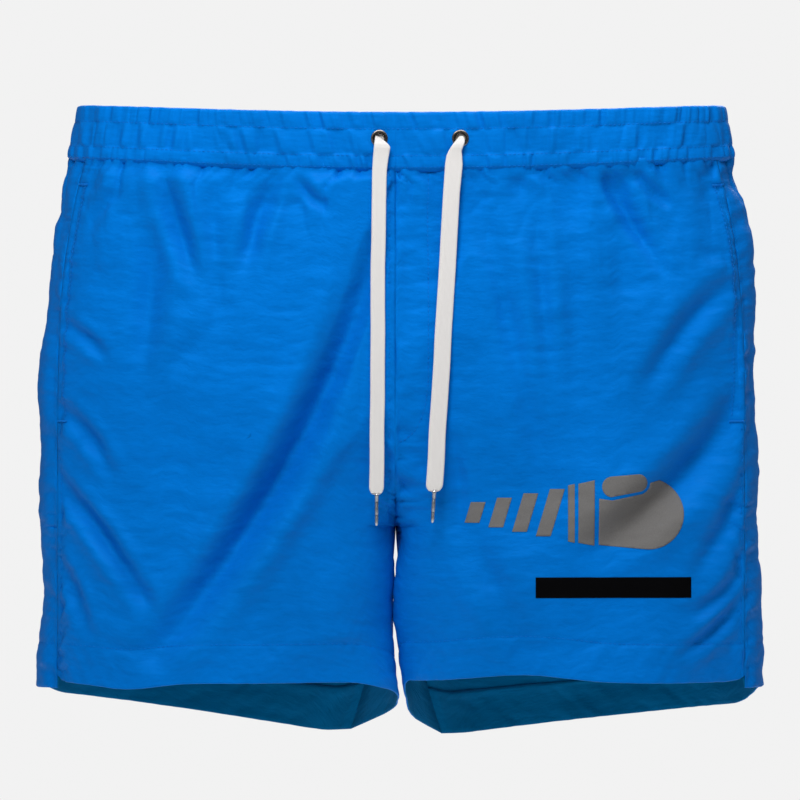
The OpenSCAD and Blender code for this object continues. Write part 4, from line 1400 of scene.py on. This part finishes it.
class Trim:
    """Pockets, fly, tacks and the stitching on the panels."""

    def __init__(self, panels: Panels, wardrobe: Wardrobe) -> None:
        """Takes the made panels.

        Args:
            panels: the cloth that the trim follows.
            wardrobe: the finishes.
        """
        self.panels, self.form, self.wardrobe = panels, panels.form, wardrobe

    def patch(self, side: Side, face: Face, w: np.ndarray, d: np.ndarray, off: float) -> tuple[np.ndarray, np.ndarray]:
        """A grid of points that follows the made cloth at a distance."""
        ww, dd = np.meshgrid(w, d)
        flat, out = self.panels.track(side, face, ww.ravel(), dd.ravel())
        shape = ww.shape + (3,)
        return (flat + out * off).reshape(shape), out.reshape(shape)

    def place(self, obj: bpy.types.Object, node: str, finish: str, slot: str, thickness: float) -> None:
        """Thickens, dresses and seats a piece of trim."""
        if thickness:
            thicken(obj, thickness)
        self.wardrobe.seat(obj, node, finish, slot)

    def pocket(self, side: Side) -> None:
        """One side pocket: the turned welt, the facing behind it and the bag."""
        form = self.form
        d = np.linspace(form.pocket_top_d, form.pocket_foot_d, 90)
        w = np.linspace(form.side_w - 0.006, form.side_w + 0.050, 9)
        points, out = self.patch(side, Face.FRONT, np.clip(w, form.side_w, None), d, 0.0)
        noise = Noise(45 + side.value)
        swell = np.sin(np.linspace(0, np.pi, 9))[None, :] ** 0.7 * np.sin(np.linspace(0.0, np.pi, 90))[:, None] ** 0.25
        lift = -0.0006 + 0.0013 * swell + 0.0004 * noise(d / 0.005, d * 0)[:, None] * swell
        points = points + out * lift[..., None]
        welt = sheet_object(f"pocket_welt_{side.label}_edge", points, out)
        self.place(welt, f"pocket_welt_{side.label}", "shell", "shell_cloth", 0.0005)
        d = np.linspace(form.pocket_top_d - 0.004, form.pocket_foot_d + 0.004, 40)
        points, out = self.patch(side, Face.FRONT, np.linspace(form.side_w + 0.005, form.side_w + 0.30, 12), d, -0.0011)
        facing = sheet_object(f"pocket_facing_{side.label}_cloth", points, -out)
        self.place(facing, f"pocket_facing_{side.label}", "shell", "shell_cloth", 0.0004)
        rows, cols = 60, 36
        d = np.linspace(form.band_h + 0.012, form.pocket_foot_d + 0.030, rows)
        w = np.linspace(form.side_w + 0.03, 1.12, cols)
        points, out = self.patch(side, Face.FRONT, w, d, -0.0020)
        u, v = np.meshgrid(np.linspace(0, 1, cols), np.linspace(0, 1, rows))
        belly = np.clip(np.sin(np.pi * u) * np.sin(np.pi * np.clip(v * 0.94 + 0.03, 0, 1)), 0, 1) ** 0.5
        inner = points - out * (0.0004 + 0.0016 * belly + 0.0004 * noise(u * 7, v * 9) * belly)[..., None]
        corner = ease((v - 0.80) / 0.20) * ease((u - 0.72) / 0.28)
        for grid in (points, inner):
            grid[..., 2] += 0.018 * corner * corner
        ring = np.concatenate([points, inner[::-1]], axis=0)
        outs = np.concatenate([out, -out[::-1]], axis=0)
        bag = sheet_object(f"pocket_bag_{side.label}_cloth", ring, outs)
        self.place(bag, f"pocket_bag_{side.label}", "lining", "pocket_lining", 0.00025)

    def fly(self) -> None:
        """The facing behind the mock fly."""
        form = self.form
        d = np.linspace(form.band_h + 0.002, form.fly_foot_d, 50)
        rows, outs = [], []
        for depth in d:
            reach = max(0.004, float(form.fly_x(np.array(depth))) + 0.002)
            w = form.front_w(Side.LEFT, np.linspace(reach, 0.0012, 8), np.full(8, depth))
            points, out = self.panels.track(Side.LEFT, Face.FRONT, w, np.full(8, depth))
            rows.append(points - out * 0.0010)
            outs.append(-out)
        obj = sheet_object("fly_facing_cloth", np.array(rows), np.array(outs))
        self.place(obj, "fly_facing", "shell", "shell_cloth", 0.0003)

    def rows_of_stitches(self, stitching: Stitching) -> None:
        """Sews the centre seam, the fly, the side seams and the hems."""
        form = self.form
        centre, sides, hems = bmesh.new(), bmesh.new(), bmesh.new()
        d = np.linspace(form.band_h + 0.001, form.crotch_d - 0.006, 160)
        self.sew(stitching, centre, Side.RIGHT, Face.FRONT, form.front_w(Side.RIGHT, np.full_like(d, 0.004), d), d)
        d = np.linspace(form.band_h + 0.001, form.fly_foot_d, 130)
        self.sew(stitching, centre, Side.LEFT, Face.FRONT, form.front_w(Side.LEFT, form.fly_x(d), d), d)
        d = np.linspace(form.band_h + 0.001, form.crotch_d - 0.006, 160)
        w = -form.front_w(Side.RIGHT, np.full_like(d, 0.004), d)
        self.sew(stitching, centre, Side.RIGHT, Face.BACK, w, d)
        for side in Side:
            d = np.linspace(form.pocket_foot_d + 0.004, form.front_hem_d - 0.030, 100)
            self.sew(stitching, sides, side, Face.FRONT, np.full_like(d, form.side_w + 0.024), d)
            d = np.linspace(form.pocket_top_d, form.pocket_foot_d, 100)
            self.sew(stitching, sides, side, Face.FRONT, np.full_like(d, form.side_w + 0.070), d, -0.0007)
            w = np.linspace(form.side_w + 0.02, 2.40, 220)
            self.sew(stitching, hems, side, Face.FRONT, w, form.hem_d(side, w) - form.hem_h)
            w = np.linspace(-1.56, form.side_w - 0.02, 240)
            self.sew(stitching, hems, side, Face.BACK, w, form.hem_d(side, w) - form.hem_h)
        for bm, name, node in ((centre, "centre_rows", "centre_topstitch"), (sides, "side_rows", "side_seam_topstitch"),
                               (hems, "hem_rows", "hem_topstitch")):
            self.place(mesh_from(bm, name), node, "thread", "thread", 0.0)

    def sew(self, stitching: Stitching, bm: bmesh.types.BMesh, side: Side, face: Face, w: np.ndarray,
            d: np.ndarray, sink: float = 0.0) -> None:
        """Sews one row on a panel."""
        points, out = self.panels.track(side, face, w, d)
        kernel = np.ones(5) / 5
        for k in range(3):
            points[2:-2, k] = np.convolve(points[:, k], kernel, "valid")
        stitching.row(bm, points, out, sink)

    def bartacks(self) -> None:
        """Dense tacks across both ends of each pocket and up each hem vent."""
        form = self.form
        pockets, vents = bmesh.new(), bmesh.new()
        for side in Side:
            for depth in (form.pocket_top_d - 0.001, form.pocket_foot_d + 0.001):
                w = np.linspace(form.side_w + 0.004, form.side_w + 0.085, 12)
                line, out = self.panels.track(side, Face.FRONT, w, np.full(12, depth))
                self.zigzag(pockets, line + out * 0.0009, out, 0.0017)
            d = np.linspace(form.front_hem_d - 0.021, form.front_hem_d - 0.008, 12)
            line, out = self.panels.track(side, Face.FRONT, np.full(12, form.side_w + 0.012), d)
            self.zigzag(vents, line + out * 0.0002, out, 0.0014)
        self.place(mesh_from(pockets, "pocket_tacks"), "pocket_bartacks", "thread", "thread", 0.0)
        self.place(mesh_from(vents, "vent_tacks"), "hem_vent_bartacks", "thread", "thread", 0.0)

    @staticmethod
    def zigzag(bm: bmesh.types.BMesh, line: np.ndarray, out: np.ndarray, width: float,
               pitch: float = 0.0006) -> None:
        """Lays short thread bars side by side across a line."""
        run = lengths(line[None], 1)[0]
        for i in range(int(run[-1] / pitch)):
            at = (i + 0.5) * pitch
            centre = Vector([np.interp(at, run, line[:, k]) for k in range(3)])
            normal = Vector([np.interp(at, run, out[:, k]) for k in range(3)]).normalized()
            ahead = Vector(line[-1] - line[0]).normalized()
            across = normal.cross(ahead).normalized() + ahead * (0.15 if i % 2 else -0.15)
            across.normalize()
            side = normal.cross(across).normalized()
            lay_bar(bm, centre, across * width / 2, side * 0.00032, normal * 0.00030)


@dataclass
class Prints:
    """The printed films on the wearer's left leg: a plain glove with stripes, and a plain bar."""

    panels: Panels
    wardrobe: Wardrobe
    centre_x: float = 0.146
    centre_z: float = -0.278
    bar_x: float = 0.144
    bar_z: float = -0.329
    bar_w: float = 0.106
    bar_h: float = 0.014
    lift: float = 0.00030
    film: float = 0.00012
    step: float = 0.0016

    def outline(self, bm: bmesh.types.BMesh, points: Sequence[tuple[float, float]]) -> None:
        """Adds one flat filled outline, given in millimetres from the emblem's middle."""
        ring = [bm.verts.new((x * MM, 0.0, z * MM)) for x, z in points]
        bm.faces.new(ring)

    def round_shape(self, x: float, z: float, rx: float, rz: float, start: float, end: float,
                    steps: int = 28) -> list[tuple[float, float]]:
        """Points on an elliptical arc, in millimetres, between two angles in degrees."""
        return [(x + rx * math.cos(math.radians(a)), z + rz * math.sin(math.radians(a)))
                for a in np.linspace(start, end, steps)]

    def glove(self) -> bmesh.types.BMesh:
        """The emblem, flat, before it is laid on the cloth."""
        bm = bmesh.new()
        fist = self.round_shape(22, -1, 24, 24, -95, 72) + self.round_shape(15, 20, 8, 8, 0, -84, 10)
        self.outline(bm, fist + [(-3, 8.2), (-12, 9.5), (-12, -22)])
        thumb = self.round_shape(15, 20, 6, 6, -84, 90, 14) + self.round_shape(-3, 17.5, 7, 7, 95, 264, 14)
        self.outline(bm, thumb)
        self.outline(bm, [(-15, -22.5), (-15, 22), (-26, 19.5), (-26, -20.5)])
        self.outline(bm, [(-28.5, -20.5), (-28.5, 19.5), (-33, 18.5), (-33, -19.5)])
        for k in range(4):
            x, h = -50 - 17 * k, 32 - 6 * k
            self.outline(bm, [(x - h * 0.15, -h / 2), (x + 10 - h * 0.15, -h / 2), (x + 10 + h * 0.15, h / 2),
                              (x + h * 0.15, h / 2)])
        return bm

    def lay(self, bm: bmesh.types.BMesh, name: str, x: float, z: float) -> bpy.types.Object:
        """Cuts a flat shape into small faces and lays it on the cloth."""
        bmesh.ops.translate(bm, verts=bm.verts, vec=(x, 0, z))
        xs, zs = [v.co.x for v in bm.verts], [v.co.z for v in bm.verts]
        step = self.step
        for low, high, normal in ((min(xs), max(xs), (1, 0, 0)), (min(zs), max(zs), (0, 0, 1))):
            for cut in np.arange(low + step / 2, high, step):
                place = (cut, 0, 0) if normal[0] else (0, 0, cut)
                bmesh.ops.bisect_plane(bm, geom=bm.verts[:] + bm.edges[:] + bm.faces[:], dist=1e-7,
                                       plane_co=place, plane_no=normal)
        bmesh.ops.triangulate(bm, faces=[f for f in bm.faces if len(f.verts) > 4])
        cloth = self.panels.objects[Side.LEFT, Face.FRONT]
        flat = bmesh.new()
        flat.from_mesh(cloth.data)
        tree = BVHTree.FromBMesh(flat)
        flat.free()
        for vert in bm.verts:
            hit, normal, _, _ = tree.ray_cast(Vector((vert.co.x, -0.2, vert.co.z)), Vector((0, 1, 0)))
            if hit is not None:
                vert.co = hit + Vector((0, -self.lift, 0))
        bm.normal_update()
        for f in bm.faces:
            if f.normal.y > 0:
                f.normal_flip()
        obj = mesh_from(bm, name)
        solid = obj.modifiers.new("film", "SOLIDIFY")
        solid.thickness, solid.offset = self.film, -1.0
        return obj

    def build(self) -> None:
        """Lays both films."""
        emblem = self.lay(self.glove(), "glove_print_film", self.centre_x, self.centre_z)
        bar = bmesh.new()
        w, h = self.bar_w / MM / 2, self.bar_h / MM / 2
        self.outline(bar, [(-w, -h), (w, -h), (w, h), (-w, h)])
        strip = self.lay(bar, "bar_print_film", self.bar_x, self.bar_z)
        for obj, node, finish, slot in ((emblem, "glove_print", "grey", "grey_print"),
                                        (strip, "bar_print", "black", "black_print")):
            self.wardrobe.seat(obj, node, finish, slot)


@dataclass(frozen=True)
class Softbox:
    """A square area light that shines on a point."""

    place: tuple[float, float, float]
    aim: tuple[float, float, float]
    size: float
    power: float


@dataclass
class Studio:
    """Plain pale floor, soft light and a long lens square to the front."""

    aim: tuple[float, float, float] = (-0.001, -0.02, -0.2016)
    distance: float = 4.5
    frame_width: float = 0.544
    ambient: float = 0.11
    backdrop: float = 0.887
    floor_z: float = -0.700
    floor_radius: float = 2.4
    floor_grey: float = 0.71
    floor_glow: float = 0.20
    sensor_w: float = 36.0
    key: Softbox = Softbox((-0.27, -0.95, 0.66), (0.0, 0.0, -0.17), 0.55, 10.8)
    top: Softbox = Softbox((0.20, -0.42, 0.85), (0.0, -0.02, -0.18), 0.7, 7.0)
    back_toward: tuple[float, float, float] = (-0.2, -0.8, -0.6)
    back_strength: float = 1.9
    back_spread: float = 40

    def build(self) -> None:
        """Builds the floor, the lights and the camera."""
        scene = bpy.context.scene
        scene.view_settings.view_transform = "Standard"
        world = bpy.data.worlds.new("studio")
        world.use_nodes = True
        tree = world.node_tree
        path = tree.nodes.new("ShaderNodeLightPath")
        shade = tree.nodes.new("ShaderNodeMapRange")
        shade.inputs["To Min"].default_value, shade.inputs["To Max"].default_value = self.ambient, self.backdrop
        tree.links.new(path.outputs["Is Camera Ray"], shade.inputs["Value"])
        tree.links.new(shade.outputs["Result"], tree.nodes["Background"].inputs["Strength"])
        tree.nodes["Background"].inputs["Color"].default_value = (1, 1, 1, 1)
        scene.world = world
        bm = bmesh.new()
        bmesh.ops.create_circle(bm, cap_ends=True, segments=96, radius=self.floor_radius)
        bmesh.ops.translate(bm, verts=bm.verts, vec=(0, 0, self.floor_z))
        floor = mesh_from(bm, "floor")
        material = new_material("floor_paint")
        n = Nodes(material)
        grain = n.noise(n.cloth_vector((9, 9, 9), uv=False), 2.0)
        low, high = rgba((self.floor_grey,) * 3), rgba((self.floor_grey + 0.005,) * 3)
        n.finish(Base_Color=n.mixed(grain, low, high), Roughness=0.9, Specular_IOR_Level=0.0,
                 Emission_Color=(1, 1, 1, 1), Emission_Strength=self.floor_glow)
        floor.data.materials.append(material)
        self.softbox("key", self.key)
        self.softbox("top", self.top)
        self.sun("back", self.back_toward, self.back_strength, self.back_spread)
        camera = bpy.data.cameras.new("camera")
        camera.sensor_width = self.sensor_w
        camera.lens = self.sensor_w * (self.distance - 0.02) / self.frame_width
        camera.clip_end = 100.0
        obj = bpy.data.objects.new("camera", camera)
        scene.collection.objects.link(obj)
        obj.location = (self.aim[0], self.aim[1] - self.distance, self.aim[2])
        obj.rotation_euler = (math.radians(90), 0, 0)
        scene.camera = obj

    @staticmethod
    def softbox(name: str, box: Softbox) -> None:
        """Adds a square area light."""
        light = bpy.data.lights.new(name, "AREA")
        light.size, light.energy = box.size, box.power
        obj = bpy.data.objects.new(name, light)
        obj.location = box.place
        obj.rotation_euler = (Vector(box.aim) - Vector(box.place)).to_track_quat("-Z", "Y").to_euler()
        bpy.context.scene.collection.objects.link(obj)

    @staticmethod
    def sun(name: str, toward: Sequence[float], strength: float, spread: float) -> None:
        """Adds a wide soft sun that shines along a direction."""
        light = bpy.data.lights.new(name, "SUN")
        light.energy, light.angle = strength, math.radians(spread)
        obj = bpy.data.objects.new(name, light)
        obj.rotation_euler = Vector(toward).to_track_quat("-Z", "Y").to_euler()
        bpy.context.scene.collection.objects.link(obj)


def eyelet_centres() -> dict:
    """Centre of each eyelet, from the frame."""
    centres = {}
    for side in Side:
        low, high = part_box(f"eyelet_{side.label}")
        centres[side] = (np.array(low) + np.array(high)) / 2
    return centres


def main() -> None:
    """Builds the shorts in order and reports each part."""
    logging.basicConfig(level=logging.INFO, format="%(name)s: %(message)s")
    Studio().build()
    form, wardrobe, eyelets = Form(), Wardrobe(Palette()), eyelet_centres()
    drawcord = Drawcord(form, wardrobe)
    for side in Side:
        drawcord.tail(side, eyelets[side])
    drawcord.hidden_run(eyelets)
    LOG.info("drawcord made")
    drape = Drape(form)
    drape.arrange()
    drape.relax()
    panels = Panels(drape, wardrobe)
    panels.build()
    LOG.info("panels made")
    stitching = Stitching()
    band = Waistband(form, wardrobe, eyelets)
    for side in Side:
        band.build(side)
    band.sew(stitching)
    band.elastic()
    rings = Eyelets(wardrobe)
    for side in Side:
        rings.build(side, eyelets[side])
    LOG.info("waistband made")
    trim = Trim(panels, wardrobe)
    for side in Side:
        trim.pocket(side)
    trim.fly()
    trim.rows_of_stitches(stitching)
    trim.bartacks()
    Prints(panels, wardrobe).build()
    LOG.info("trim and prints made")


if __name__ == "__main__":
    main()
